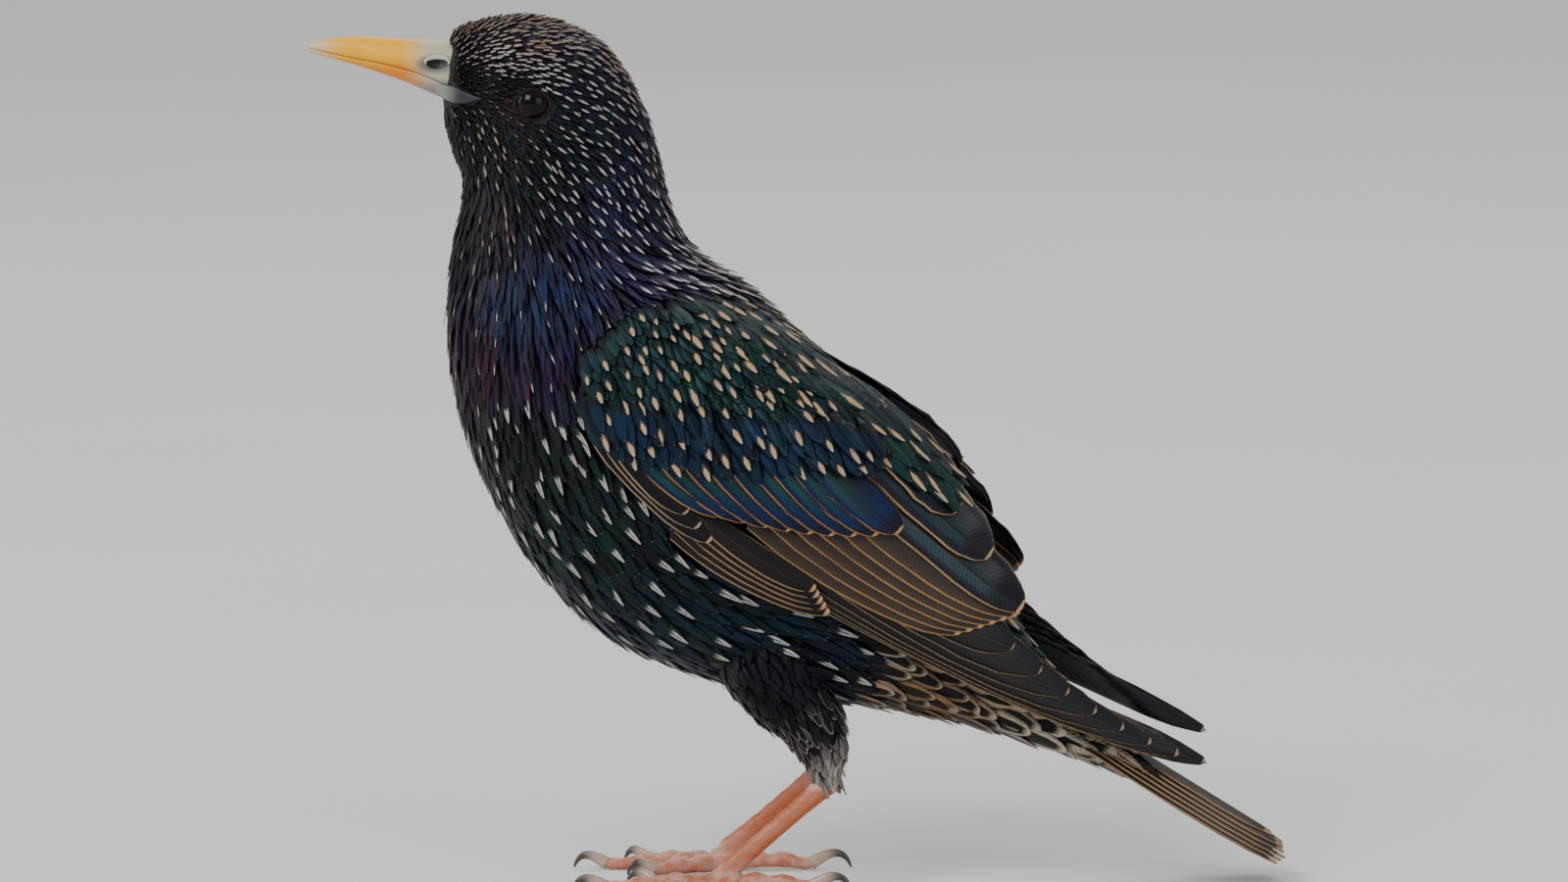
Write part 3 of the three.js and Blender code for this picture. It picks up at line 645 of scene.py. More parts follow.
def side_of_body(x, z):
    """Distance of the body's side from the middle plane at a point seen from the side."""
    stations = np.linspace(0, BODY_END, 400)
    rows = section(BODY, stations)
    top = rows[:, 0:2] - rows[:, 2:4]
    off = np.abs((x - rows[:, 2]) * top[:, 1] - (z - rows[:, 3]) * top[:, 0]) / np.linalg.norm(top, axis=1)
    inside = ((x - rows[:, 2]) * top[:, 0] + (z - rows[:, 3]) * top[:, 1]) / (top**2).sum(1)
    off[(inside < -0.1) | (inside > 1.1)] = 1e9
    best = int(np.argmin(off))
    share = np.clip(abs(inside[best] * 2 - 1), 0, 1)
    return float(rows[best, 4] * (1 - share**FULLNESS) ** (1 / FULLNESS))


MARK_AT = np.array(
    [(x + CENTRING, side_of_body(x, z) if on_side else 0.0, z) for _, x, z, on_side, *_ in PLUMAGE]
)
steepness = np.radians([mark[4] for mark in PLUMAGE])
MARK_WAY = np.stack([np.cos(steepness), np.zeros(len(PLUMAGE)), -np.sin(steepness)], axis=1)
MARK_SIZES = np.array([mark[5:10] for mark in PLUMAGE], float)
MARK_TINT = np.array([mark[10] for mark in PLUMAGE]) / 1000
MARK_SPOT = np.array([(*mark[11], mark[12]) for mark in PLUMAGE])
MARK_KIND = np.array([mark[13] for mark in PLUMAGE], float)
STEER = 0.8  # how far the marks turn a feather from the run of the surface
BILL_EDGE_X, BILL_EDGE_RISE = -56.5, 0.6
ROOT_DEPTH = 0.25  # below the skin


def mark_weights(points):
    mirrored = points * (1, 0, 1) + np.abs(points) * (0, 1, 0)
    apart = np.linalg.norm(mirrored[:, None] - MARK_AT[None], axis=2)
    weights = 1 / (apart + 1.0) ** 4
    return weights / weights.sum(1, keepdims=True)


def look_from_marks(points, seed):
    """The look of a feather at each point, varied a little from one to the next."""
    rng = np.random.default_rng(seed)
    weights = mark_weights(points)
    count = len(points)
    length, width, pointed, lift, spot_gap = (weights @ MARK_SIZES).T
    tint = weights @ MARK_TINT
    tint = tint * rng.uniform(0.5, 1.6, (count, 1)) * rng.uniform(0.65, 1.35, (count, 3))
    spot = weights @ MARK_SPOT
    spot[:, :3] *= rng.uniform(0.75, 1.1, (count, 1))
    spotted = apart_by(points, spot_gap)
    spot[:, 3] *= rng.uniform(0.8, 1.25, count) * spotted
    kind = MARK_KIND[weights.argmax(axis=1)]
    return {
        "heading": unit(weights @ MARK_WAY) * STEER,
        "length": length * rng.uniform(0.88, 1.12, count),
        "width": width * rng.uniform(0.88, 1.12, count),
        "point": pointed,
        "lift": lift * rng.uniform(0.75, 1.1, count) + 0.3 * spotted,
        "turn": rng.normal(0, 0.1, count),
        "base": -COAT_DEPTH - ROOT_DEPTH + BILL_EDGE_RISE * np.clip((BILL_EDGE_X - points[:, 0]) / 3, 0, 1),
        "tint": np.concatenate([tint, kind[:, None]], axis=1),
        "spot": spot,
    }


def root_spacing(points):
    weights = mark_weights(points)
    sizes = weights @ MARK_SIZES
    under_tail = weights @ (MARK_KIND == RIM)
    return 0.28 * np.sqrt(sizes[:, 0] * sizes[:, 1]) * (1 + 0.75 * under_tail)


print(len(PLUMAGE), "marks")

# %% [markdown]
# The gloss of a starling is not paint. Thin layers in the barbs throw back one colour, as metal does, so
# the finish is a dark metallic one whose colour comes from each feather's own tint. The pale tip is drawn
# by the feather's own map, from root to tip and from edge to edge, and the barbs are a fine slanted bump.

# %% Finish of the small feathers
FULL_TURN = 6.2832


def vane_coordinates(tree):
    """Share along a feather, distance from its middle line from 0 to 1, and the same with its sign."""
    uv = add_node(tree, "ShaderNodeUVMap", uv_map="vane")
    parts = add_node(tree, "ShaderNodeSeparateXYZ", {0: uv.outputs[0]})
    signed = maths(tree, "MULTIPLY_ADD", parts.outputs[1], 2.0, -1.0)
    return parts.outputs[0], maths(tree, "ABSOLUTE", signed), signed


def barbs(tree, along, off_shaft, count, slant):
    """Waves between 0 and 1 that run slanting from the shaft to the edge."""
    phase = maths(tree, "MULTIPLY_ADD", off_shaft, -slant, maths(tree, "MULTIPLY", along, count))
    wave = maths(tree, "SINE", maths(tree, "MULTIPLY", phase, FULL_TURN))
    return maths(tree, "MULTIPLY_ADD", wave, 0.5, 0.5)


small_vane, tree, shader = material("small_vane", Metallic=0.6, Roughness=0.4, Specular_IOR_Level=0.3)
along, off_shaft, _ = vane_coordinates(tree)
tint = attribute(tree, "tint")
spot = attribute(tree, "spot")
kind = tint["Alpha"]
size = spot["Alpha"]
lines = barbs(tree, along, off_shaft, 13.0, 4.0)
ragged = maths(tree, "MULTIPLY_ADD", lines, 0.07, along)


def spot_from(reach):
    start = maths(tree, "SUBTRACT", 1.02, reach)
    return soft_step(tree, ragged, start, maths(tree, "ADD", start, 0.05))


drop = maths(
    tree, "MULTIPLY",
    spot_from(maths(tree, "MULTIPLY", size, maths(tree, "MULTIPLY_ADD", off_shaft, -1.1, 1.15))),
    soft_step(tree, off_shaft, 0.5, 0.3),
)
dashes = maths(
    tree, "MULTIPLY", spot_from(size),
    maths(tree, "MULTIPLY", soft_step(tree, off_shaft, 0.6, 0.4), soft_step(tree, off_shaft, 0.05, 0.15)),
)
rim = maths(
    tree, "MULTIPLY", soft_step(tree, size, 0.05, 0.15),
    maths(
        tree, "MAXIMUM", spot_from(maths(tree, "MULTIPLY", size, 0.35)),
        maths(tree, "MULTIPLY", soft_step(tree, off_shaft, 0.45, 0.6), soft_step(tree, along, 0.3, 0.5)),
    ),
)
drop_share = soft_step(tree, kind, 0.3, 0.2)
rim_share = soft_step(tree, kind, 0.7, 0.8)
dash_share = maths(tree, "SUBTRACT", 1.0, maths(tree, "ADD", drop_share, rim_share))
is_spot = maths(
    tree, "MULTIPLY_ADD", drop, drop_share,
    maths(tree, "MULTIPLY_ADD", dashes, dash_share, maths(tree, "MULTIPLY", rim, rim_share)),
)
root_dark = soft_step(tree, along, 0.1, 0.6)
dark = blend_colors(tree, root_dark, (0.003, 0.003, 0.004), tint["Color"])
dark = blend_colors(tree, maths(tree, "MULTIPLY", lines, 0.4), dark, (0.002, 0.002, 0.003))
pale = blend_colors(tree, maths(tree, "MULTIPLY", lines, 0.45), spot["Color"], (0.1, 0.08, 0.06))
whiter = maths(tree, "MULTIPLY", soft_step(tree, along, 0.84, 1.0), 0.22)
pale = blend_colors(tree, whiter, pale, (0.62, 0.59, 0.54))
tree.links.new(blend_colors(tree, is_spot, dark, pale), shader.inputs["Base Color"])
tree.links.new(maths(tree, "MULTIPLY_ADD", is_spot, -0.6, 0.6), shader.inputs["Metallic"])
tree.links.new(maths(tree, "MULTIPLY_ADD", is_spot, 0.3, 0.38), shader.inputs["Roughness"])
bump(tree, shader, lines, 0.35, 0.00015)
print("small feather finish made")

# %% [markdown]
# The eyes and the bill have to stay free, and no small feather is wasted where the folded wing covers the
# side. Bill and wing are outlines seen from the side, so a test of a point against a polygon is enough.

# %% Where feathers are left out
def inside_outline(outline, x, z):
    inside = np.zeros(len(x), bool)
    for (x1, z1), (x2, z2) in zip(outline, outline[1:] + outline[:1]):
        crosses = (z1 > z) != (z2 > z)
        with np.errstate(divide="ignore", invalid="ignore"):
            at = (x2 - x1) * (z - z1) / (z2 - z1) + x1
        inside ^= crosses & (x < at)
    return inside


BILL_BASE = [
    (-63, 145), (-60.3, 144.6), (-59.5, 142.6), (-59.4, 140.8), (-60, 138.6), (-59.2, 137.2),
    (-56.7, 136.1), (-54.2, 135.3), (-57.4, 133.9), (-60, 133.4), (-63, 132),
]
TAIL_COVERTS_END = 23.6
BACK_ANGLE = 0.95  # nearer to the middle of the back than this, feathers also grow under the wing
UNDER_WING = [
    (-29, 88), (-25, 72), (-15, 63), (0, 53), (20, 44), (40, 36),
    (44, 40), (34, 56), (22, 69), (10, 79), (0, 85), (-12, 92), (-22, 95),
]
eye_middle = sum(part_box("eye_left"), Vector()) / 2 / MM
EYE_CLEAR = 2.95
EYE_UPSTREAM = (-1.9, 0.3)
HEAD_END = 7  # the station behind which no feather is near the eye


def clear_of_eye(points):
    """False near the eye, and before it, where a feather would reach over the eye."""
    x, z = points[:, 0] - eye_middle.x, points[:, 2] - eye_middle.z
    ux, uz = EYE_UPSTREAM
    share = np.clip((x * ux + z * uz) / (ux * ux + uz * uz), 0, 1)
    return np.hypot(x - share * ux, z - share * uz) > EYE_CLEAR


def bare_body(points, s, angle):
    free = clear_of_eye(points) | (s > HEAD_END)
    on_side = np.abs(angle) > BACK_ANGLE
    hidden = inside_outline(UNDER_WING, points[:, 0] - CENTRING, points[:, 2]) & on_side
    at_bill = inside_outline(BILL_BASE, points[:, 0] - CENTRING, points[:, 2])
    on_tail = (s > TAIL_COVERTS_END) & (np.abs(angle) < math.pi / 2)
    return free & ~hidden & ~at_bill & ~on_tail


print(len(BILL_BASE), "points round the bill,", len(UNDER_WING), "round the wing")

# %% [markdown]
# The coat of the body is laid in six pieces, from the face to the rump, so that no mesh grows too large.
# Many more roots are tried than find room, so that no gap is left between the feathers.

# %% Lay the coat of the body
# name: stations, tries
COAT_PIECES = {
    "coat_face": ((-0.4, 3.4), 70000),
    "coat_head": ((3.4, 5.6), 50000),
    "coat_nape": ((5.6, 8.2), 50000),
    "coat_neck": ((8.2, 12.5), 50000),
    "coat_body": ((12.5, 20.5), 50000),
    "coat_rump": ((20.5, 24.5), 16000),
}
for number, (name, (stations, tries)) in enumerate(COAT_PIECES.items()):
    s, angle, points = spread(
        surface, BODY, stations, (-math.pi, math.pi), root_spacing, tries, 100 + number, bare_body
    )
    look = look_from_marks(points, 200 + number)
    coat = small_feathers(name, surface, BODY, s, angle, look, 300 + number, len(BODY))
    coat.data.materials.append(small_vane)
    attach(coat, "root")
    print(name, len(s), "feathers", len(coat.data.polygons), "faces")

# %% [markdown]
# The thigh wears short, loose, greyish feathers, paler at the edge, down to a whitish cuff at the ankle.

# %% Feathers of the thighs
THIGH_COAT = (0.3, 4.95)  # first and last station
THIGH_GAP = 1.35
CUFF_FROM, CUFF_LONG = 2.9, 1.5
THIGH_TINT = np.array((0.006, 0.007, 0.009))
CUFF_TINT = np.array((0.48, 0.45, 0.39))
THIGH_FRINGE = (0.085, 0.08, 0.072, 0.2)
for side_name, side in SIDES.items():
    at = thigh_surface(side)
    s, angle, points = spread(
        at, THIGH, THIGH_COAT, (-math.pi, math.pi), lambda p: np.full(len(p), THIGH_GAP), 6000, 40 + side
    )
    count = len(s)
    rng = np.random.default_rng(50 + side)
    low = np.clip((s - CUFF_FROM) / CUFF_LONG, 0, 1)[:, None]
    grey = rng.uniform(0.4, 1.3, (count, 1))
    tint = (THIGH_TINT * (1 - low) + CUFF_TINT * low) * grey
    fringe = np.tile(THIGH_FRINGE, (count, 1))
    fringe[:, :3] += low * 0.16
    fringe[:, 3] *= np.clip(s - 1.4, 0, 1) * (rng.uniform(0, 1, count) < 0.6)
    look = {
        "heading": np.zeros((count, 3)),
        "length": rng.uniform(4.5, 6.5, count) * (1 - 0.35 * low[:, 0]),
        "width": rng.uniform(1.8, 2.4, count) * (1 - 0.3 * low[:, 0]),
        "point": np.full(count, 0.6),
        "lift": rng.uniform(0.7, 1.2, count) * (1 - 0.3 * low[:, 0]),
        "turn": rng.normal(0, 0.12, count),
        "base": np.full(count, -0.7),
        "tint": np.concatenate([tint, np.full((count, 1), RIM)], axis=1),
        "spot": fringe,
    }
    coat = small_feathers(f"coat_thigh_{side_name}", at, THIGH, s, angle, look, 60 + side, len(THIGH))
    coat.data.materials.append(small_vane)
    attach(coat, "root")
    print(coat.name, count, "feathers")

# %% [markdown]
# The long feathers of wing and tail are modelled one by one. Each has a shaft nearer to its outer edge, a
# slightly hollow vane and a round tip. Its width follows one curve, and a second row of points below the
# first closes it.

# %% Form of one long feather
LONG_SHARES = np.array([0.02, 0.1, 0.2, 0.3, 0.4, 0.5, 0.6, 0.7, 0.78, 0.85, 0.9, 0.94, 0.97, 0.99])
LONG_FORM = np.interp(
    LONG_SHARES, [0, 0.2, 0.45, 0.7, 0.85, 0.93, 0.98, 1], [0.5, 0.84, 1, 1, 0.86, 0.64, 0.36, 0.2]
)
LONG_ACROSS = np.array([-1, -0.75, -0.5, -0.3, -0.2, -0.1, 0.15, 0.4, 0.65, 0.85, 1, 0.6, 0.1, -0.4, -0.75])
LONG_TOP = 11  # points of a ring that lie on the upper face
SHAFT_AT = -0.2
SHAFT_WIDE, SHAFT_HIGH = 0.07, 0.16
HOLLOW = 0.18
LONG_FACES = ring_triangles(len(LONG_SHARES), len(LONG_ACROSS))


def long_vane_points(place, thick, seed):
    """Vertices of a long feather; place(along, across, rise) gives points in mm."""
    rng = np.random.default_rng(seed)
    under = np.arange(len(LONG_ACROSS)) >= LONG_TOP
    shaft = np.exp(-(((LONG_ACROSS - SHAFT_AT) / SHAFT_WIDE) ** 2)) * SHAFT_HIGH
    hollow = -HOLLOW * np.abs(LONG_ACROSS - SHAFT_AT) ** 1.5
    rise = np.where(under, -thick, shaft) + hollow
    along, across = np.meshgrid(LONG_SHARES, LONG_ACROSS, indexing="ij")
    fray = 1 + rng.normal(0, 0.02, along.shape) * (np.abs(across) > 0.9)
    widths = across * LONG_FORM[:, None] * fray
    body = place(along.ravel(), widths.ravel(), np.tile(rise, len(LONG_SHARES)))
    ends = place(np.array([0.0, 1.0]), np.array([0.0, SHAFT_AT * 0.2]), np.array([-thick / 2, -thick / 2]))
    return np.concatenate([body, ends])


def long_vane_map():
    along = np.concatenate([np.repeat(LONG_SHARES, len(LONG_ACROSS)), [0, 1]])
    across = np.concatenate([np.tile(LONG_ACROSS, len(LONG_SHARES)), [0, SHAFT_AT]])
    return np.stack([along, across / 2 + 0.5], axis=1)


def long_vanes(name, places, thick, colors, seed):
    """One piece of several long feathers; places are functions, colors are rows per feather."""
    points = np.stack([long_vane_points(place, thick, seed + k) for k, place in enumerate(places)])
    count = len(places)
    vane = np.tile(long_vane_map(), (count, 1, 1))
    cells = math.ceil(math.sqrt(count))
    corner = np.array([(k % cells, k // cells) for k in range(count)], float) / cells
    bake = corner[:, None] + (vane * 0.94 + 0.03) / cells
    return vane_mesh(name, points, LONG_FACES, {"vane": vane, "OFBake": bake}, colors)


print("a long feather has", len(LONG_FACES), "triangles")

# %% [markdown]
# In a folded wing the inner feathers lie on top, and each one shows only its outer edge. So the feathers are
# laid out as seen from the side, and the wing shell says how far out each point lies.
# Where the shell is, seen from the side, follows from its sections: we look for the section whose line
# runs through the point, by halving the range again and again, and then read off its width there.

# %% Distance of the wing shell from the middle plane
HALVINGS = 24


def distance_out(table, x, z, grow):
    low = np.zeros(x.shape)
    high = np.full(x.shape, len(table) - 1.0)
    for _ in range(HALVINGS):
        middle = (low + high) / 2
        q = section(table, middle)
        before = (x - q[..., 2]) * (q[..., 1] - q[..., 3]) - (z - q[..., 3]) * (q[..., 0] - q[..., 2]) > 0
        low, high = np.where(before, middle, low), np.where(before, high, middle)
    q = section(table, low)
    top, bottom = q[..., 0:2], q[..., 2:4]
    up = top - bottom
    half = np.linalg.norm(up, axis=-1) / 2
    centre = (top + bottom) / 2
    c = ((x - centre[..., 0]) * up[..., 0] + (z - centre[..., 1]) * up[..., 1]) / (2 * half) / (half + grow)
    share = np.clip(np.abs(c), 0, 1) ** FULLNESS
    return (q[..., 4] + grow) * np.maximum(0.02, 1 - share) ** (1 / FULLNESS)


FAR_LIFT = 5
LIFT_FROM, LIFT_FULL = 0, 48


def lifted(side, x, z):
    """The far wing is carried higher towards its tip than the near one."""
    t = np.clip((x - LIFT_FROM) / (LIFT_FULL - LIFT_FROM), 0, 1)
    return z + (FAR_LIFT * t * t * (3 - 2 * t) if side > 0 else 0)


def wing_place(side, root, tip, half, layer, tilt, bow, sink):
    """The place function of a wing feather whose shaft runs from root to tip."""
    root, tip = np.array(root, float), np.array(tip, float)
    run = tip - root
    normal = np.array([-run[1], run[0]]) / np.linalg.norm(run)

    def place(along, across, rise):
        reach = bow * 4 * along * (1 - along) + across * half
        x = root[0] + run[0] * along + normal[0] * reach
        z = lifted(side, x, root[1] + run[1] * along + normal[1] * reach)
        level = layer - sink * (1 - along) ** 2 - across * tilt + rise
        y = distance_out(WING_SHELL, x, z, level)
        return np.stack([x + CENTRING, side * y, z], axis=1)

    return place


print("the far wing's tip is lifted by", FAR_LIFT, "mm")

# %% [markdown]
# The tiers of the folded wing: eight primaries with the longest lowest, six secondaries and three tertials,
# and over their roots the primary coverts, the alula and the greater coverts. A tier is given by its first
# and last feather, and those between follow on a bowed line.

# %% Tiers of the wing
# name, count, first feather, last feather, bow of the line of roots and of tips, tilt
# a feather: root and tip as x z, half width, layer over the shell, bow of its shaft
TIERS = [
    ("primaries", 8,
     ((-16, 62), (69.3, 20.6), 2.7, -1.5, -1.2), ((5, 62), (36.3, 42.2), 4, 0, -1), -2, -2.4, 0.15),
    ("secondaries", 6,
     ((-9, 65.5), (27.5, 45.2), 2.9, 0.25, -1.2), ((4, 72), (37.3, 47.8), 3.4, 0.85, -1.4), 0, 0, 0.25),
    ("tertials", 3,
     ((6, 75), (37.8, 48.6), 4.3, 1.25, 0.6), ((10, 82.5), (27, 65.4), 4.2, 1.95, 0.6), 0.3, 0.6, 0.3),
    ("primary_coverts", 5,
     ((-22, 63), (5, 48.8), 2.1, -0.35, -1), ((-19, 68), (2.6, 53), 2.2, 0.1, -1), 0, 0, 0.2),
    ("alula", 3,
     ((-35, 80), (-15, 61.5), 2.4, 0.2, -0.6), ((-33, 82), (-19, 66.5), 2.5, 0.7, -0.6), 0, 0, 0.25),
    ("greater_coverts", 9,
     ((-31, 81), (-12.5, 66.2), 2.5, 0.95, -1), ((-1, 81), (17, 62.6), 3.3, 1.75, -0.8), 2.5, -1.4, 0.25),
]
# name: colours in thousandths of the hidden web, the shown web, its edge and the rim, then the rim's width
TIER_COLORS = {
    "primaries": ((13, 13, 16), (9, 8, 10), (3, 2.7, 3), (420, 280, 160), 0.034),
    "secondaries": ((10, 9, 9), (26, 17, 11), (45, 27, 14), (450, 250, 100), 0.1),
    "tertials": ((45, 44, 48), (16, 34, 42), (3, 4, 12), (500, 310, 160), 0.07),
    "primary_coverts": ((8, 7, 8), (14, 11, 10), (10, 8, 9), (460, 280, 140), 0.11),
    "alula": ((6, 5, 7), (8, 6, 10), (5, 4, 7), (440, 300, 180), 0.09),
    "greater_coverts": ((5, 12, 16), (6, 50, 52), (3, 12, 60), (500, 250, 100), 0.09),
}
ROOT_SINK = {"tertials": 2.1, "greater_coverts": 1.1}
PLAIN_SINK = 0.7
LONG_THICK = 0.22


def tier_feathers(count, first, last, root_bow, tip_bow):
    """Root, tip, half width, layer and bow of each feather of a tier."""
    rows = []
    for k in range(count):
        t = k / (count - 1)
        bulge = 4 * t * (1 - t)
        root, tip = (np.array(first[i]) * (1 - t) + np.array(last[i]) * t for i in (0, 1))
        root[1] += root_bow * bulge
        tip[1] += tip_bow * bulge
        rows.append((root, tip, *(first[i] * (1 - t) + last[i] * t for i in (2, 3, 4))))
    return rows


def make_tier(side_name, side, number):
    name, count, first, last, root_bow, tip_bow, tilt = TIERS[number]
    *web_colors, rim_width = TIER_COLORS[name]
    hidden, shown, edge, rim = np.array(web_colors) / 1000
    rng = np.random.default_rng(700 + number * 10 + side)
    places = [
        wing_place(side, root, tip, half, layer, tilt, bow, ROOT_SINK.get(name, PLAIN_SINK))
        for root, tip, half, layer, bow in tier_feathers(count, first, last, root_bow, tip_bow)
    ]
    vary = rng.uniform(0.85, 1.15, (count, 1))
    colors = {
        "hidden_web": np.concatenate([np.tile(hidden, (count, 1)) * vary, np.ones((count, 1))], axis=1),
        "shown_web": np.concatenate([np.tile(shown, (count, 1)) * vary, np.ones((count, 1))], axis=1),
        "web_edge": np.tile((*edge, 1), (count, 1)),
        "rim": np.tile((*rim, rim_width), (count, 1)),
    }
    return long_vanes(f"{name}_{side_name}", places, LONG_THICK, colors, 800 + number * 20)


print(sum(tier[1] for tier in TIERS), "long feathers in each wing")

# %% [markdown]
# A long feather has a dark web, a glossier outer web, a thin shaft, and a buff rim that is widest along
# the outer edge and round the tip. All of it is drawn on the feather's own map.

# %% Finish of the long feathers
SHAFT_COLOR = (0.015, 0.01, 0.008)
BAND_COLOR = (0.004, 0.004, 0.006)
BARB_COLOR = (0.004, 0.004, 0.005)


def long_finish(name, metallic, roughness, edge_from, edge_full):
    """The edge colour shows from the share edge_from of the length, and is full at edge_full."""
    made, tree, shader = material(name, Metallic=metallic, Roughness=roughness, Specular_IOR_Level=0.3)
    along, off_middle, signed = vane_coordinates(tree)
    hidden, shown, edge = (attribute(tree, key)["Color"] for key in ("hidden_web", "shown_web", "web_edge"))
    rim = attribute(tree, "rim")
    lines = barbs(tree, along, off_middle, 46.0, 3.0)
    web = blend_colors(tree, soft_step(tree, signed, 0.25, -0.15), hidden, shown)
    at_side = soft_step(tree, off_middle, 0.55, 0.75)
    near_tip = soft_step(tree, along, edge_from, edge_full)
    web = blend_colors(tree, maths(tree, "MAXIMUM", at_side, near_tip), web, edge)
    last_band = maths(tree, "MULTIPLY", soft_step(tree, along, 0.82, 0.93), 0.75)
    web = blend_colors(tree, last_band, web, BAND_COLOR)
    web = blend_colors(tree, maths(tree, "MULTIPLY", lines, 0.3), web, BARB_COLOR)
    shaft_off = maths(tree, "ABSOLUTE", maths(tree, "SUBTRACT", signed, SHAFT_AT))
    web = blend_colors(tree, soft_step(tree, shaft_off, 0.08, 0.02), web, SHAFT_COLOR)
    width = rim["Alpha"]
    outer_in = maths(tree, "SUBTRACT", width, 1.0)
    outer_full = maths(tree, "SUBTRACT", outer_in, 0.03)
    outer = soft_step(tree, signed, maths(tree, "ADD", outer_in, 0.05), outer_full)
    inner_in = maths(tree, "SUBTRACT", 1.0, maths(tree, "MULTIPLY", width, 0.45))
    inner_full = maths(tree, "ADD", inner_in, 0.04)
    inner = soft_step(tree, signed, maths(tree, "SUBTRACT", inner_in, 0.03), inner_full)
    tip_in = maths(tree, "SUBTRACT", 1.0, maths(tree, "MULTIPLY", width, 0.16))
    ragged = maths(tree, "MULTIPLY_ADD", maths(tree, "MULTIPLY", lines, width), 0.06, along)
    tip = soft_step(tree, ragged, maths(tree, "MULTIPLY_ADD", width, -0.1, tip_in), tip_in)
    is_rim = maths(tree, "MAXIMUM", maths(tree, "MAXIMUM", outer, inner), tip)
    tree.links.new(blend_colors(tree, is_rim, web, rim["Color"]), shader.inputs["Base Color"])
    tree.links.new(maths(tree, "MULTIPLY_ADD", is_rim, -metallic, metallic), shader.inputs["Metallic"])
    bump(tree, shader, lines, 0.3, 0.0001)
    return made


flight_finish = long_finish("flight_vane", 0.12, 0.5, 0.84, 0.93)
covert_finish = long_finish("covert_vane", 0.5, 0.4, 0.5, 0.85)
TIER_FINISH = {
    "primaries": flight_finish,
    "secondaries": flight_finish,
    "primary_coverts": covert_finish,
    "alula": covert_finish,
    "greater_coverts": covert_finish,
    "tertials": long_finish("tertial_vane", 0.3, 0.45, 0.8, 0.9),
}
print(len(TIER_FINISH), "tiers have their finish")

# %% [markdown]
# Each tier becomes one piece on each side. The primaries lie lowest and reach to the wing's tip, so their
# piece is the one that takes the place of the wing's solid.

# %% Build the folded wings
for side_name, side in SIDES.items():
    for number, tier in enumerate(TIERS):
        piece = make_tier(side_name, side, number)
        piece.data.materials.append(TIER_FINISH[tier[0]])
        if tier[0] == "primaries":
            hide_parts(f"wing_{side_name}")
        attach(piece, "root")
        print(piece.name, tier[1], "feathers", len(piece.data.polygons), "faces")

# %% [markdown]
# Between back and wing lie the shoulder feathers, and the front of the wing wears small coverts. Both
# grow over the wing shell with the same code as the body's coat, only a little further out.

# %% Shoulder feathers and small coverts
# outlines of the three regions, as seen from the side
SHOULDER = [
    (-24, 104), (-22, 98), (-8, 92), (4, 84), (14, 76), (20, 71), (21, 76), (11, 87), (-1, 97), (-12, 106),
]
WING_FRONT = [
    (-37, 94), (-37, 86), (-30, 84), (-16, 84), (-4, 83), (4, 84), (2, 87), (-4, 95), (-16, 101), (-28, 102),
]
MEDIAN = [
    (-37, 88), (-36, 84), (-30, 81), (-16, 79.5), (-4, 78.5),
    (8, 77), (9, 81), (0, 84), (-16, 85.5), (-30, 87),
]
SHELL_TURNS = (0.15, 2.6)  # from the back down the side


def at_shell(side):
    def at(table, s, angle, grow):
        points = surface(table, s, angle, grow)
        points[..., 2] = lifted(side, points[..., 0] - CENTRING, points[..., 2])
        return points

    return at


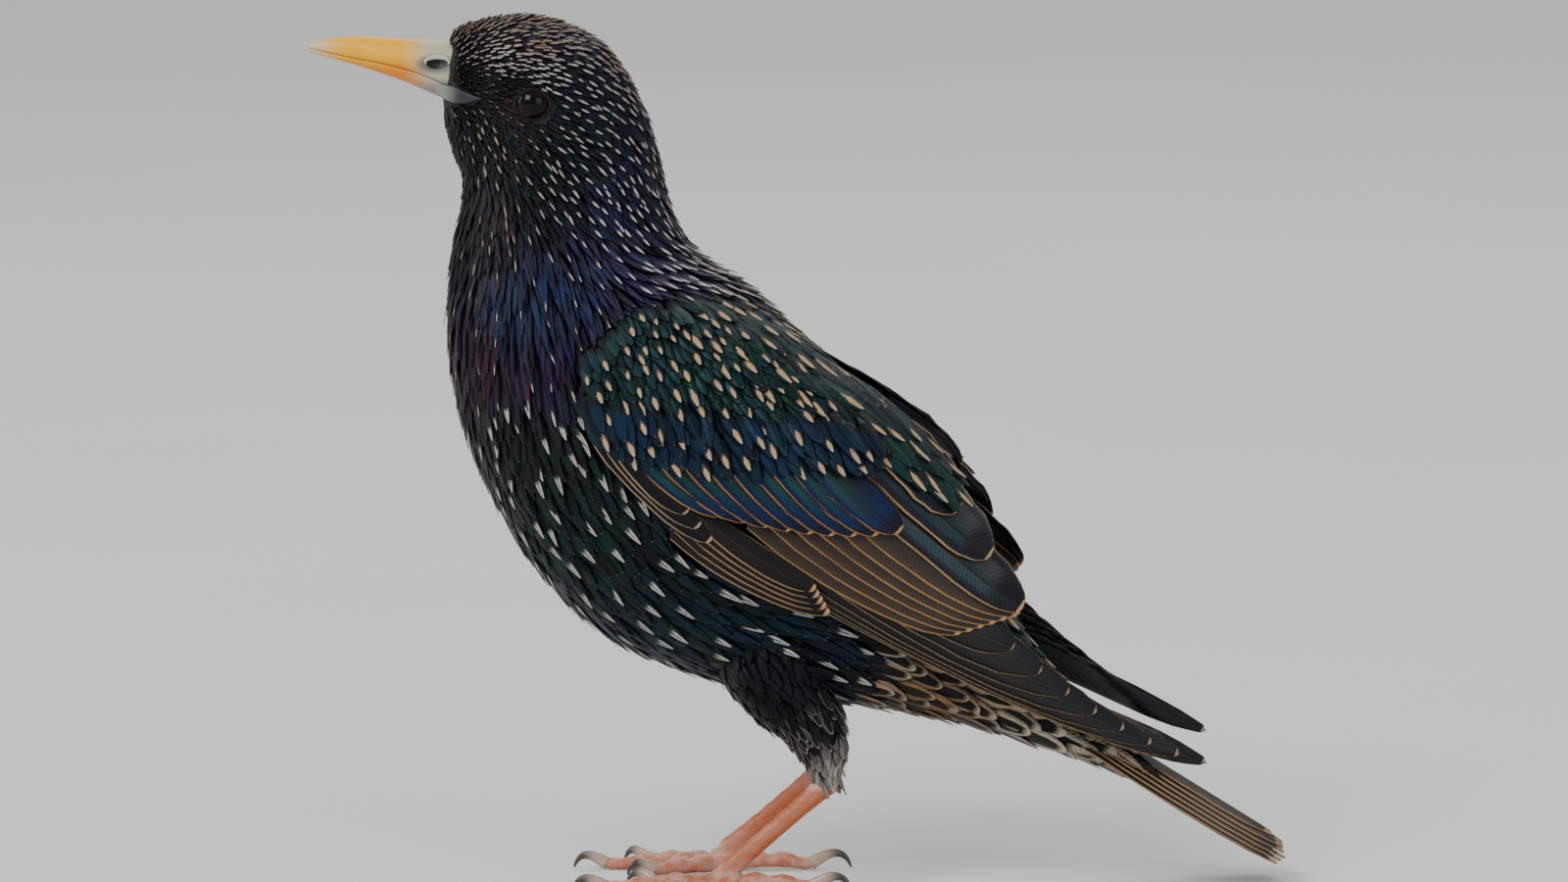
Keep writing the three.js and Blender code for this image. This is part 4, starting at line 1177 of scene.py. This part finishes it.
# name: outline, base over the shell, rise to the tip, steepness, length, width, spacing, gap between spots,
# tint, spot colour and length
SHELL_COATS = {
    "coat_wing_front": (WING_FRONT, 0.0, 1.6, 70, 6.5, 2.8, 1.3, 2.6, (0.005, 0.022, 0.026), (*BUFF, 0.34)),
    "coat_median": (MEDIAN, 0.7, 1.7, 68, 8.0, 3.2, 1.5, 3.1, (0.004, 0.017, 0.034), (*BUFF, 0.3)),
    "coat_shoulder": (SHOULDER, -0.3, 2.2, 60, 11.0, 3.6, 1.7, 3.4, (0.005, 0.026, 0.024), (*BUFF, 0.34)),
}
for side_name, side in SIDES.items():
    for number, (name, values) in enumerate(SHELL_COATS.items()):
        outline, base, rise, steep, long, wide, gap, spot_gap, tint, spot = values
        at = at_shell(side)
        turns = sorted(side * turn for turn in SHELL_TURNS)
        s, angle, points = spread(
            at, WING_SHELL, (0, 5.5), turns,
            lambda p, gap=gap: gap * np.interp(p[:, 0], [-26, -14], [0.7, 1.0]), 14000, 900 + number,
            lambda p, s, a, outline=outline: inside_outline(outline, p[:, 0] - CENTRING, p[:, 2]),
        )
        count = len(s)
        rng = np.random.default_rng(950 + number)
        vary = rng.uniform(0.6, 1.5, (count, 1)) * rng.uniform(0.75, 1.25, (count, 3))
        spots = np.tile(spot, (count, 1))
        from_front = np.clip(s / 2.2, 0, 1)
        spotted = apart_by(points, spot_gap * (0.5 + 0.5 * from_front))
        spots[:, 3] *= spotted * rng.uniform(0.85, 1.2, count)
        near_back = np.exp(-((np.abs(angle) / 0.55) ** 2))
        over_tertials = np.clip(points[:, 0] / 14, 0, 1)
        way = np.array((math.cos(math.radians(steep)), 0, -math.sin(math.radians(steep))))
        # the roots lie lower at the back and at the front, and higher over the tertials
        height = base - 1.6 * near_back * (1 - over_tertials) - 2.3 * (1 - from_front) ** 1.5
        height = height + 1.5 * over_tertials
        look = {
            "heading": np.tile(way * STEER, (count, 1)),
            "length": long * (0.5 + 0.5 * from_front) * rng.uniform(0.88, 1.1, count),
            "width": wide * (0.75 + 0.25 * from_front) * rng.uniform(0.9, 1.1, count),
            "point": np.full(count, 0.45),
            "lift": (rise * rng.uniform(0.85, 1.1, count) + 0.25 * spotted) * (1 - 0.5 * near_back),
            "turn": rng.normal(0, 0.08, count),
            "base": height,
            "tint": np.concatenate([np.tile(tint, (count, 1)) * vary, np.full((count, 1), DROP)], axis=1),
            "spot": spots,
        }
        coat = small_feathers(
            f"{name}_{side_name}", at, WING_SHELL, s, angle, look, 970 + number, len(WING_SHELL)
        )
        coat.data.materials.append(small_vane)
        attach(coat, "root")
        print(coat.name, count, "feathers")

# %% [markdown]
# The tail is short and nearly square: twelve feathers, the middle pair on top and the outer ones lowest,
# closed like a fan. It takes its finish from the flight feathers.

# %% Tail
TAIL_ROOT = np.array((50.0, 27.25))
TAIL_TIP = np.array((83.6, 6.3))
TAIL_PAIRS = 6
TAIL_HALF = 3.5
TAIL_SPREAD = 1.45  # from one feather's shaft to the next
TAIL_DROP = 0.7  # each pair lies this much lower
MIDDLE_SHORT = 2.2  # the middle pair is this much shorter, which notches the tail
MIDDLE_OUT = 0.8


def tail_place(side, pair):
    run = TAIL_TIP - TAIL_ROOT
    full = np.linalg.norm(run)
    forward = run / full
    up = np.array([-forward[1], forward[0]])
    length = full - (MIDDLE_SHORT if pair == 0 else 0) - 0.5 * abs(pair - 3)

    def place(along, across, rise):
        middle = side * (MIDDLE_OUT + pair * TAIL_SPREAD * (0.8 + 0.32 * along))
        outer = np.clip(-across, 0, 1)
        level = -pair * TAIL_DROP * (1 - 0.18 * along) + rise - 0.6 * outer**2
        flat = TAIL_ROOT + forward * (length * along)[:, None] + up * level[:, None]
        return np.stack([flat[:, 0] + CENTRING, middle - side * across * TAIL_HALF, flat[:, 1]], axis=1)

    return place


tail_order = [(side, pair) for pair in range(TAIL_PAIRS) for side in (-1, 1)]
tail = long_vanes(
    "tail_vanes",
    [tail_place(side, pair) for side, pair in tail_order],
    LONG_THICK,
    {
        "hidden_web": np.tile((0.018, 0.015, 0.013, 1), (len(tail_order), 1)),
        "shown_web": np.tile((0.03, 0.024, 0.019, 1), (len(tail_order), 1)),
        "web_edge": np.tile((0.06, 0.037, 0.021, 1), (len(tail_order), 1)),
        "rim": np.tile((0.27, 0.165, 0.085, 0.17), (len(tail_order), 1)),
    },
    1100,
)
tail.data.materials.append(flight_finish)
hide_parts("tail")
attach(tail, "root")
print("tail", len(tail_order), "feathers")

# %% [markdown]
# The bill is two long wedges of horn that meet along the mouth line. The nostril near its base is a shallow
# dent under a soft flap, and the dark of its slit is painted shade. Each half is a ball drawn out between its
# ridge, its cutting edge and its sides.

# %% Bill
# from the tip back: distance, ridge z, cutting edge z, lower edge z, half width
BILL = np.array(
    [
        (0, 143.3, 142.9, 142.5, 0.5),
        (0.7, 143.8, 142.75, 142, 0.85),
        (1.8, 144.1, 142.5, 141.6, 1.15),
        (4, 144.5, 142, 141, 1.55),
        (8, 144.8, 141.2, 139.9, 2.1),
        (12, 144.7, 140.5, 138.6, 2.7),
        (16, 144.5, 139.6, 137.2, 3.2),
        (20, 144.4, 138.4, 135.5, 3.75),
        (24, 144.3, 136.6, 133.9, 4.4),
        (28, 143.9, 134.9, 132.9, 5.7),
        (31, 143.3, 133.9, 132.3, 6.3),
    ],
    float,
)
BILL_TIP_X = -83.6
MOUTH_GAP = 0.06
RIDGE_POWER = 0.85  # below 1 the bill's back is fuller than an ellipse
NOSTRIL_X, NOSTRIL_Z = -61.5, 140.6
NOSTRIL_LONG, NOSTRIL_HIGH = 2.0, 0.85
NOSTRIL_DENT = 0.16


def bill_place(upper):
    def place(share, angle):
        rows = section(BILL, share * (len(BILL) - 1))
        back, ridge, edge, low, wide = rows.T
        high = np.maximum(np.cos(angle), 0) ** RIDGE_POWER
        edge = edge + (MOUTH_GAP if upper else -MOUTH_GAP)
        z = edge + ((ridge if upper else low) - edge) * high
        y = wide * np.sin(angle)
        if upper:
            off_x = (back + BILL_TIP_X - NOSTRIL_X) / NOSTRIL_LONG
            off_z = (z - NOSTRIL_Z) / NOSTRIL_HIGH
            y = y * (1 - NOSTRIL_DENT * np.exp(-(off_x**2 + off_z**2)))
        return np.stack([BILL_TIP_X + back + CENTRING, y, z], axis=1)

    return place


HORN_YELLOW, HORN_WARM = (0.78, 0.35, 0.006), (0.84, 0.42, 0.01)
HORN_LOW = (0.68, 0.18, 0.002)
HORN_TIP = (0.64, 0.45, 0.25)
BASE_LOW, BASE_HIGH = (0.16, 0.18, 0.18), (0.4, 0.41, 0.34)
# the nostril's grey skin, and the near-black painted shade of its slit under the flap
NOSTRIL_SOFT, NOSTRIL_PAINTED_SHADE = (0.13, 0.14, 0.12), (0.004, 0.004, 0.004)
# the nostril's patch, with its painted shade, lies this much below the nostril's middle
NOSTRIL_SUNK = 0.25

bill_finish, tree, shader = material("bill_horn", Roughness=0.34, Specular_IOR_Level=0.3)
shader.inputs["Subsurface Weight"].default_value = 0.08
x, _, z = point_on_part(tree)
base_share = soft_step(tree, x, -0.0675, -0.061)
tip_share = soft_step(tree, x, -0.0765, -0.0825)
low_share = soft_step(tree, z, 0.1418, 0.1385)
horn = blend_colors(tree, noise(tree, 350, 3), HORN_YELLOW, HORN_WARM)
horn = blend_colors(tree, maths(tree, "MULTIPLY", low_share, 0.85), horn, HORN_LOW)
horn = blend_colors(tree, tip_share, horn, HORN_TIP)
base_color = blend_colors(tree, soft_step(tree, z, 0.1355, 0.1385), BASE_LOW, BASE_HIGH)
horn = blend_colors(tree, maths(tree, "MULTIPLY", base_share, 0.9), horn, base_color)


def squared_share(value, middle, reach):
    """The square of the distance from the middle, measured in reaches; all in millimetres."""
    off = maths(tree, "DIVIDE", maths(tree, "SUBTRACT", value, middle * MM), reach * MM)
    return maths(tree, "MULTIPLY", off, off)


hole = maths(
    tree, "ADD",
    squared_share(x, NOSTRIL_X + CENTRING, NOSTRIL_LONG),
    squared_share(z, NOSTRIL_Z - NOSTRIL_SUNK, NOSTRIL_HIGH),
)
# a grey ring of skin round the nostril, then near-black painted shade where the slit opens under the flap
horn = blend_colors(tree, soft_step(tree, hole, 5.0, 1.2), horn, NOSTRIL_SOFT)
horn = blend_colors(tree, soft_step(tree, hole, 1.15, 0.7), horn, NOSTRIL_PAINTED_SHADE)
tree.links.new(horn, shader.inputs["Base Color"])
bump(tree, shader, noise(tree, 1500, 2), 0.08, 0.0001)

for name, upper in (("bill_upper", True), ("bill_lower", False)):
    piece = drawn_ball(f"{name}_horn", 40, 60, bill_place(upper))
    piece.data.materials.append(bill_finish)
    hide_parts(name)
    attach(piece, "root")
print("bill", round(BILL[-1, 0], 1), "mm from tip to end of the horn")

# %% [markdown]
# A soft pale flap curls over each nostril, and at the corner of the mouth the horn runs back as a wedge
# of grey skin over the face. Both are thin forms drawn along a line on the surface that carries them.

# %% Nostril flaps and mouth corners
FLAP_FROM, FLAP_TURN = math.radians(205), math.radians(235)
FLAP_LONG, FLAP_HIGH, FLAP_THICK = 2.05, 0.85, 0.4
CORNER_FROM, CORNER_LONG, CORNER_THICK = -61.8, 7.8, 0.3


def bill_side(x, z):
    """Distance of the upper bill's side from the middle plane."""
    rows = section(BILL, np.interp(x - BILL_TIP_X, BILL[:, 0], np.arange(len(BILL))))
    high = np.clip((z - rows[..., 2]) / (rows[..., 1] - rows[..., 2]), 0, 1) ** (1 / RIDGE_POWER)
    return rows[..., 4] * np.sqrt(1 - high**2)


def flap_place(side):
    def place(share, angle):
        turn = FLAP_FROM - share * FLAP_TURN
        x = NOSTRIL_X + FLAP_LONG * np.cos(turn)
        z = NOSTRIL_Z + FLAP_HIGH * np.sin(turn) + 0.1
        thick = FLAP_THICK * np.sin(math.pi * np.clip(share, 0.04, 0.96)) ** 0.6
        y = bill_side(x, z) + 0.05 + 0.75 * thick * np.sin(angle)
        out = thick * np.cos(angle)
        return np.stack([x + out * np.cos(turn) + CENTRING, side * y, z + out * np.sin(turn)], axis=1)

    return place


def corner_place(side):
    def place(share, angle):
        x = CORNER_FROM + CORNER_LONG * share
        middle = np.interp(share, [0, 0.4, 0.65, 1], [136.0, 135.5, 135.1, 135.1])
        half = np.interp(share, [0, 0.12, 0.4, 0.65, 1], [0.5, 1.15, 1.4, 0.95, 0.1])
        z = middle + half * np.cos(angle)
        on_face = distance_out(BODY, x, z, np.zeros(x.shape) - CORNER_THICK)
        on_bill = np.interp(x, [-62, -61, -57.5], [4.02, 4.12, 5.2])
        y = np.maximum(on_face, on_bill) + CORNER_THICK * np.sin(angle)
        return np.stack([x + CENTRING, side * y, z], axis=1)

    return place


flap_finish, tree, shader = material("nostril_skin", Roughness=0.4)
skin_cloud = noise(tree, 900, 2)
flap_color = blend_colors(tree, skin_cloud, (0.36, 0.38, 0.28), (0.5, 0.51, 0.4))
tree.links.new(flap_color, shader.inputs["Base Color"])
bump(tree, shader, skin_cloud, 0.2, 0.0001)

corner_finish, tree, shader = material("mouth_corner_skin", Roughness=0.5, Specular_IOR_Level=0.2)
skin_cloud = noise(tree, 700, 3)
back_share = soft_step(tree, point_on_part(tree)[0], -0.0612, -0.0568)
corner_color = blend_colors(tree, back_share, (0.26, 0.28, 0.24), (0.014, 0.015, 0.018))
corner_color = blend_colors(tree, maths(tree, "MULTIPLY", skin_cloud, 0.4), corner_color, (0.09, 0.095, 0.1))
tree.links.new(corner_color, shader.inputs["Base Color"])
bump(tree, shader, skin_cloud, 0.25, 0.0001)

for side_name, side in SIDES.items():
    flap = drawn_ball(f"nostril_flap_{side_name}", 12, 30, flap_place(side))
    flap.data.materials.append(flap_finish)
    corner = drawn_ball(f"mouth_corner_{side_name}", 24, 30, corner_place(side))
    corner.data.materials.append(corner_finish)
    for piece in (flap, corner):
        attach(piece, "root")
print("nostril flaps and mouth corners made")

# %% [markdown]
# The eye is a dark, wet ball that sits deep in the head, with only its front showing in a ring of bare
# skin. Its life is the small bright reflection of the lamps, so it is as smooth as glass.

# %% Eyes and lids
PUPIL_RADIUS, IRIS_FROM = 1.35, 1.5

eye_finish, tree, shader = material("eye_wet", Roughness=0.06, IOR=1.32, Specular_IOR_Level=0.36)
x, _, z = point_on_part(tree)
dx = maths(tree, "SUBTRACT", x, eye_middle.x * MM)
dz = maths(tree, "SUBTRACT", z, eye_middle.z * MM)
squares = [maths(tree, "MULTIPLY", off, off) for off in (dx, dz)]
off_middle = maths(tree, "SQRT", maths(tree, "ADD", *squares))
iris = blend_colors(tree, noise(tree, 1800, 2), (0.005, 0.003, 0.0025), (0.003, 0.002, 0.0017))
in_iris = soft_step(tree, off_middle, PUPIL_RADIUS * MM, IRIS_FROM * MM)
eye_color = blend_colors(tree, in_iris, (0.002, 0.002, 0.002), iris)
tree.links.new(eye_color, shader.inputs["Base Color"])

lid_finish, tree, shader = material("lid_skin", Roughness=0.7, Specular_IOR_Level=0.15)
wrinkles = noise(tree, 2600, 3)
lid_color = blend_colors(tree, wrinkles, (0.004, 0.004, 0.005), (0.018, 0.015, 0.016))
tree.links.new(lid_color, shader.inputs["Base Color"])
bump(tree, shader, wrinkles, 0.4, 0.0001)

EYE_RADIUS = 3.1
LID_REACH = 2.66
LID_THICK = 0.3
LID_OUT = 1.55  # from the eye's centre towards the side
LID_LONG, LID_HIGH, LID_CORNER = 1.02, 0.95, 0.1
for side_name, side in SIDES.items():
    centre = sum(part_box(f"eye_{side_name}"), Vector()) / 2
    deselect_all()
    bpy.ops.mesh.primitive_uv_sphere_add(segments=48, ring_count=32, radius=EYE_RADIUS * MM, location=centre)
    bpy.ops.object.transform_apply(location=True, rotation=True, scale=True)
    bpy.ops.object.shade_smooth()
    ball = bpy.context.object
    ball.name = f"eyeball_{side_name}"
    ball.data.materials.append(eye_finish)
    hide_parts(f"eye_{side_name}")
    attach(ball, "root")

    deselect_all()
    bpy.ops.mesh.primitive_torus_add(
        major_segments=48, minor_segments=12, major_radius=LID_REACH * MM, minor_radius=LID_THICK * MM,
        location=centre + Vector((0, side * LID_OUT * MM, 0)), rotation=(math.pi / 2, 0, 0),
    )
    bpy.ops.object.transform_apply(location=True, rotation=True, scale=True)
    bpy.ops.object.shade_smooth()
    lid = bpy.context.object
    lid.name = f"lid_{side_name}"
    co = np.array([v.co for v in lid.data.vertices])
    around = np.arctan2(co[:, 2] - centre.z, co[:, 0] - centre.x)
    corner = np.abs(np.cos(around)) ** 6
    co[:, 0] = centre.x + (co[:, 0] - centre.x) * (LID_LONG + LID_CORNER * corner)
    co[:, 2] = centre.z + (co[:, 2] - centre.z) * LID_HIGH
    lid.data.vertices.foreach_set("co", co.astype(np.float32).ravel())
    lid.data.update()
    lid.data.materials.append(lid_finish)
    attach(lid, "root")
print("eyes at", [round(v, 1) for v in eye_middle])

# %% [markdown]
# A starling's leg is bare from the ankle down and covered with scutes, wide plates in front and small
# scales elsewhere. Each long form is a ball drawn along its own path, and the scutes are steps in its
# radius, so they show in the outline too.

# %% Paths of the leg
ANKLE = np.array((5.0, 18.6))
FOOT_JOINT = np.array((-12.6, 3.4))
FOOT_SPREAD = 12.5
TOE_RADIUS = 1.45
FLAT_SHARE = 0.85
# heading from straight ahead in degrees, length, arch, claw length
TOES = {
    "inner": (-24, 14, 0.5, 5.5),
    "middle": (3, 21, 0.6, 6.2),
    "outer": (30, 16, 0.5, 5.2),
    "hind": (176, 15, 1.3, 7.6),
}


def plates(phase, sharp=0.25):
    """A saw of overlapping plates: 1 at a plate's front edge, falling to 0."""
    part = phase % 1.0
    return np.where(part < sharp, part / sharp, 1 - (part - sharp) / (1 - sharp))


def tube_place(path, radius, flat=False):
    """Place function of a tube; path(share) gives points in mm, radius(share, angle) its radius."""

    def place(share, angle):
        middle = path(share)
        ahead = unit(path(share + 0.01) - path(share - 0.01))
        side_way = unit(np.cross(ahead, np.array((0.0, 0.0, 1.0))))
        up = np.cross(side_way, ahead)
        r = radius(share, angle)
        points = middle + side_way * (r * np.sin(angle))[:, None] + up * (r * np.cos(angle))[:, None]
        if flat:
            points[:, 2] = np.maximum(points[:, 2], 0.02)
        return points

    return place


def toe_radius(u):
    return TOE_RADIUS * (1.05 - 0.33 * u) * (1 + 0.12 * np.cos(u * math.pi * 6))


def toe_end(u):
    """A toe narrows over its last tenth to meet its claw."""
    return 1 - 0.42 * np.clip((u - 0.88) / 0.12, 0, 1) ** 1.5


def toe_path(side, toe):
    heading, length, arch, _ = TOES[toe]
    a = math.radians(heading)
    way = np.array((-math.cos(a), side * math.sin(a)))

    def path(u):
        flat = np.array((FOOT_JOINT[0] + CENTRING, side * FOOT_SPREAD)) + way * (length * u)[:, None]
        z = FLAT_SHARE * toe_radius(np.clip(u, 0, 1)) + arch * 0.5 * np.sin(math.pi * np.clip(u, 0, 1))
        return np.stack([flat[:, 0], flat[:, 1], z], axis=1)

    return path


def shank_path(side):
    def path(u):
        share = u * 1.11 - 0.05
        x = ANKLE[0] + (FOOT_JOINT[0] - ANKLE[0]) * share
        z = ANKLE[1] + (FOOT_JOINT[1] - ANKLE[1]) * share
        y = side * (LEG_SPREAD + (FOOT_SPREAD - LEG_SPREAD) * u)
        return np.stack([x + CENTRING, y, z], axis=1)

    return path


FRONT_PLATES, BACK_SCALES = 8, 22


def shank_radius(u, angle):
    """Thick at both joints, with wide plates in front and small scales behind."""
    thick = np.interp(u, [0, 0.04, 0.12, 0.3, 0.6, 0.8, 0.9, 1], [1.3, 2.0, 1.8, 1.55, 1.5, 1.65, 1.85, 1.3])
    # up is the front of the shank, which slopes down and forward
    front = np.clip(np.cos(angle), 0, 1)
    flat = 1 - 0.16 * np.sin(angle) ** 2
    in_front = 0.07 * plates(u * FRONT_PLATES) * front
    behind = 0.015 * plates(u * BACK_SCALES + 3 * angle / math.pi) * (1 - front)
    return thick * flat * (1 + in_front + behind)


print(len(TOES), "toes on each foot")

# %% [markdown]
# The bare leg is flesh pink in front and orange along its back edge, with a pale ankle and paler, blotchy
# toes. Small cells mark the scales. A claw is pale where it leaves the toe and dark towards its tip.

# %% Finish of the legs and claws
SHANK_PINK, SHANK_PALE = (0.4, 0.095, 0.03), (0.43, 0.14, 0.08)
SHANK_ORANGE = (0.42, 0.085, 0.012)
TOE_PINK, TOE_PALE = (0.42, 0.12, 0.06), (0.52, 0.26, 0.19)
ANKLE_PALE = (0.52, 0.36, 0.32)
SEAM_PALE = (0.6, 0.36, 0.28)

leg_finish, tree, shader = material("leg_scutes", Roughness=0.42)
shader.inputs["Subsurface Weight"].default_value = 0.06
place = add_node(tree, "ShaderNodeTexCoord").outputs["Object"]
scales = {"Vector": place, "Scale": 1100}
cells = add_node(tree, "ShaderNodeTexVoronoi", scales, feature="DISTANCE_TO_EDGE")
seams = soft_step(tree, cells.outputs["Distance"], 0.0, 0.1)
# the streaks are drawn out along the shank
shank_turn = math.atan2(FOOT_JOINT[1] - ANKLE[1], FOOT_JOINT[0] - ANKLE[0])
along_shank = {"Vector": place, "Rotation": (0, shank_turn, 0), "Scale": (0.25, 1, 1)}
drawn_out = add_node(tree, "ShaderNodeMapping", along_shank)
streaks = noise(tree, 520, 2, drawn_out.outputs[0])
height = add_node(tree, "ShaderNodeSeparateXYZ", {0: place}).outputs[2]
on_foot = soft_step(tree, height, 0.0065, 0.0035)
# how far a point lies behind the middle line of the shank
slope = unit(FOOT_JOINT - ANKLE)
behind = np.array((-slope[1], 0, slope[0]))
ankle_behind = behind @ ((ANKLE[0] + CENTRING) * MM, 0, ANKLE[1] * MM)
both = {0: place, 1: tuple(behind)}
off_axis = add_node(tree, "ShaderNodeVectorMath", both, operation="DOT_PRODUCT").outputs["Value"]
at_back = soft_step(tree, maths(tree, "SUBTRACT", off_axis, float(ankle_behind)), 0.0, 0.0011)
front_color = blend_colors(tree, soft_step(tree, streaks, 0.38, 0.62), SHANK_PINK, SHANK_PALE)
shank_color = blend_colors(tree, at_back, front_color, SHANK_ORANGE)
foot_color = blend_colors(tree, soft_step(tree, noise(tree, 420, 3), 0.35, 0.65), TOE_PINK, TOE_PALE)
skin_color = blend_colors(tree, on_foot, shank_color, foot_color)
skin_color = blend_colors(tree, soft_step(tree, height, 0.0168, 0.0188), skin_color, ANKLE_PALE)
skin_color = blend_colors(tree, maths(tree, "MULTIPLY_ADD", seams, -0.12, 0.12), skin_color, SEAM_PALE)
tree.links.new(skin_color, shader.inputs["Base Color"])
bump(tree, shader, seams, 0.35, 0.00015)

claw_finish, tree, shader = material("claw_horn", Roughness=0.3)
growth = noise(tree, 700, 3)
from_base = attribute(tree, "share")["Fac"]
dark_horn = blend_colors(tree, growth, (0.02, 0.018, 0.018), (0.07, 0.06, 0.055))
claw_color = blend_colors(tree, soft_step(tree, from_base, 0.2, 0.6), (0.42, 0.31, 0.24), dark_horn)
tree.links.new(claw_color, shader.inputs["Base Color"])
bump(tree, shader, growth, 0.15, 0.0001)
print("finishes of legs and claws:", leg_finish.name, claw_finish.name)

# %% [markdown]
# Shank, toes and claws follow their paths. Toes and palm are joined to one foot, and the claws stay pieces
# of their own, because horn is another material. The toes are flattened where they meet the floor, as
# soft pads are under the bird's weight.

# %% Build legs, toes and claws
PLATE_LENGTH = 1.5
PALM_RADII = (3.1, 2.4, 2.1)
PALM_HEIGHT = 2.15


def claw_path(side, toe):
    path = toe_path(side, toe)
    tip = path(np.array([1.0]))[0]
    way = unit((tip - path(np.array([0.9]))[0]) * np.array((1, 1, 0)))
    long = TOES[toe][3]

    def claw(u):
        out = -0.5 + long * 0.93 * np.sin(np.clip(u, -0.1, 1.1) * 1.35)
        z = tip[2] + long * 0.26 * np.sin(u * math.pi) - (tip[2] - 0.3) * np.clip(u, 0, 2) ** 2
        return tip + way * out[:, None] + np.array((0, 0, 1)) * (z - tip[2])[:, None]

    return claw


def claw_radius(u, angle):
    return (1.15 - u**1.2) * (1 - 0.25 * np.sin(angle) ** 2)


def plated_toe(length):
    """The radius of a toe that has a plate for every so many millimetres."""
    count = round(length / PLATE_LENGTH)

    def radius(u, angle):
        ridge = 0.08 * plates(u * count) * np.clip(np.cos(angle), 0, 1)
        return toe_radius(u) * toe_end(u) * (1 + ridge)

    return radius


def palm_place(side):
    middle = np.array((FOOT_JOINT[0] + CENTRING, side * FOOT_SPREAD, PALM_HEIGHT))
    long, wide, high = PALM_RADII

    def place(share, angle):
        ring = np.sin(share * math.pi)
        rows = [long * ring * np.cos(angle), wide * ring * np.sin(angle), high * np.cos(share * math.pi)]
        return middle + np.stack(rows, axis=1)

    return place


for side_name, side in SIDES.items():
    shank = drawn_ball(f"shank_scutes_{side_name}", 24, 120, tube_place(shank_path(side), shank_radius))
    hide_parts(f"shank_{side_name}")
    toes = []
    for toe, (_, length, _, _) in TOES.items():
        toe_place = tube_place(toe_path(side, toe), plated_toe(length), flat=True)
        toes.append(drawn_ball(f"toe_{toe}", 20, 72, toe_place))
    palm = drawn_ball("palm", 24, 20, palm_place(side))
    foot = joined(f"foot_scutes_{side_name}", [palm, *toes])
    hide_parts(f"foot_{side_name}")
    for piece in (shank, foot):
        piece.data.materials.append(leg_finish)
        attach(piece, "root")
    for toe in TOES:
        claw_place = tube_place(claw_path(side, toe), claw_radius)
        claw = drawn_ball(f"claw_{toe}_horn_{side_name}", 16, 24, claw_place)
        claw.data.materials.append(claw_finish)
        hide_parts(f"claw_{toe}_{side_name}")
        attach(claw, "root")
print("legs made")

# %% [markdown]
# The floor is plain and pale, a little uneven in tone so that it doesn't look like paper.

# %% Finish of the floor
floor_finish, tree, shader = material("floor_pale", Roughness=0.7)
floor_color = blend_colors(tree, noise(tree, 6, 2), (0.66, 0.66, 0.65), (0.72, 0.72, 0.71))
tree.links.new(floor_color, shader.inputs["Base Color"])
floor.data.materials.append(floor_finish)
print("floor finish:", floor_finish.name)

# %% Update the view layer
bpy.context.view_layer.update()
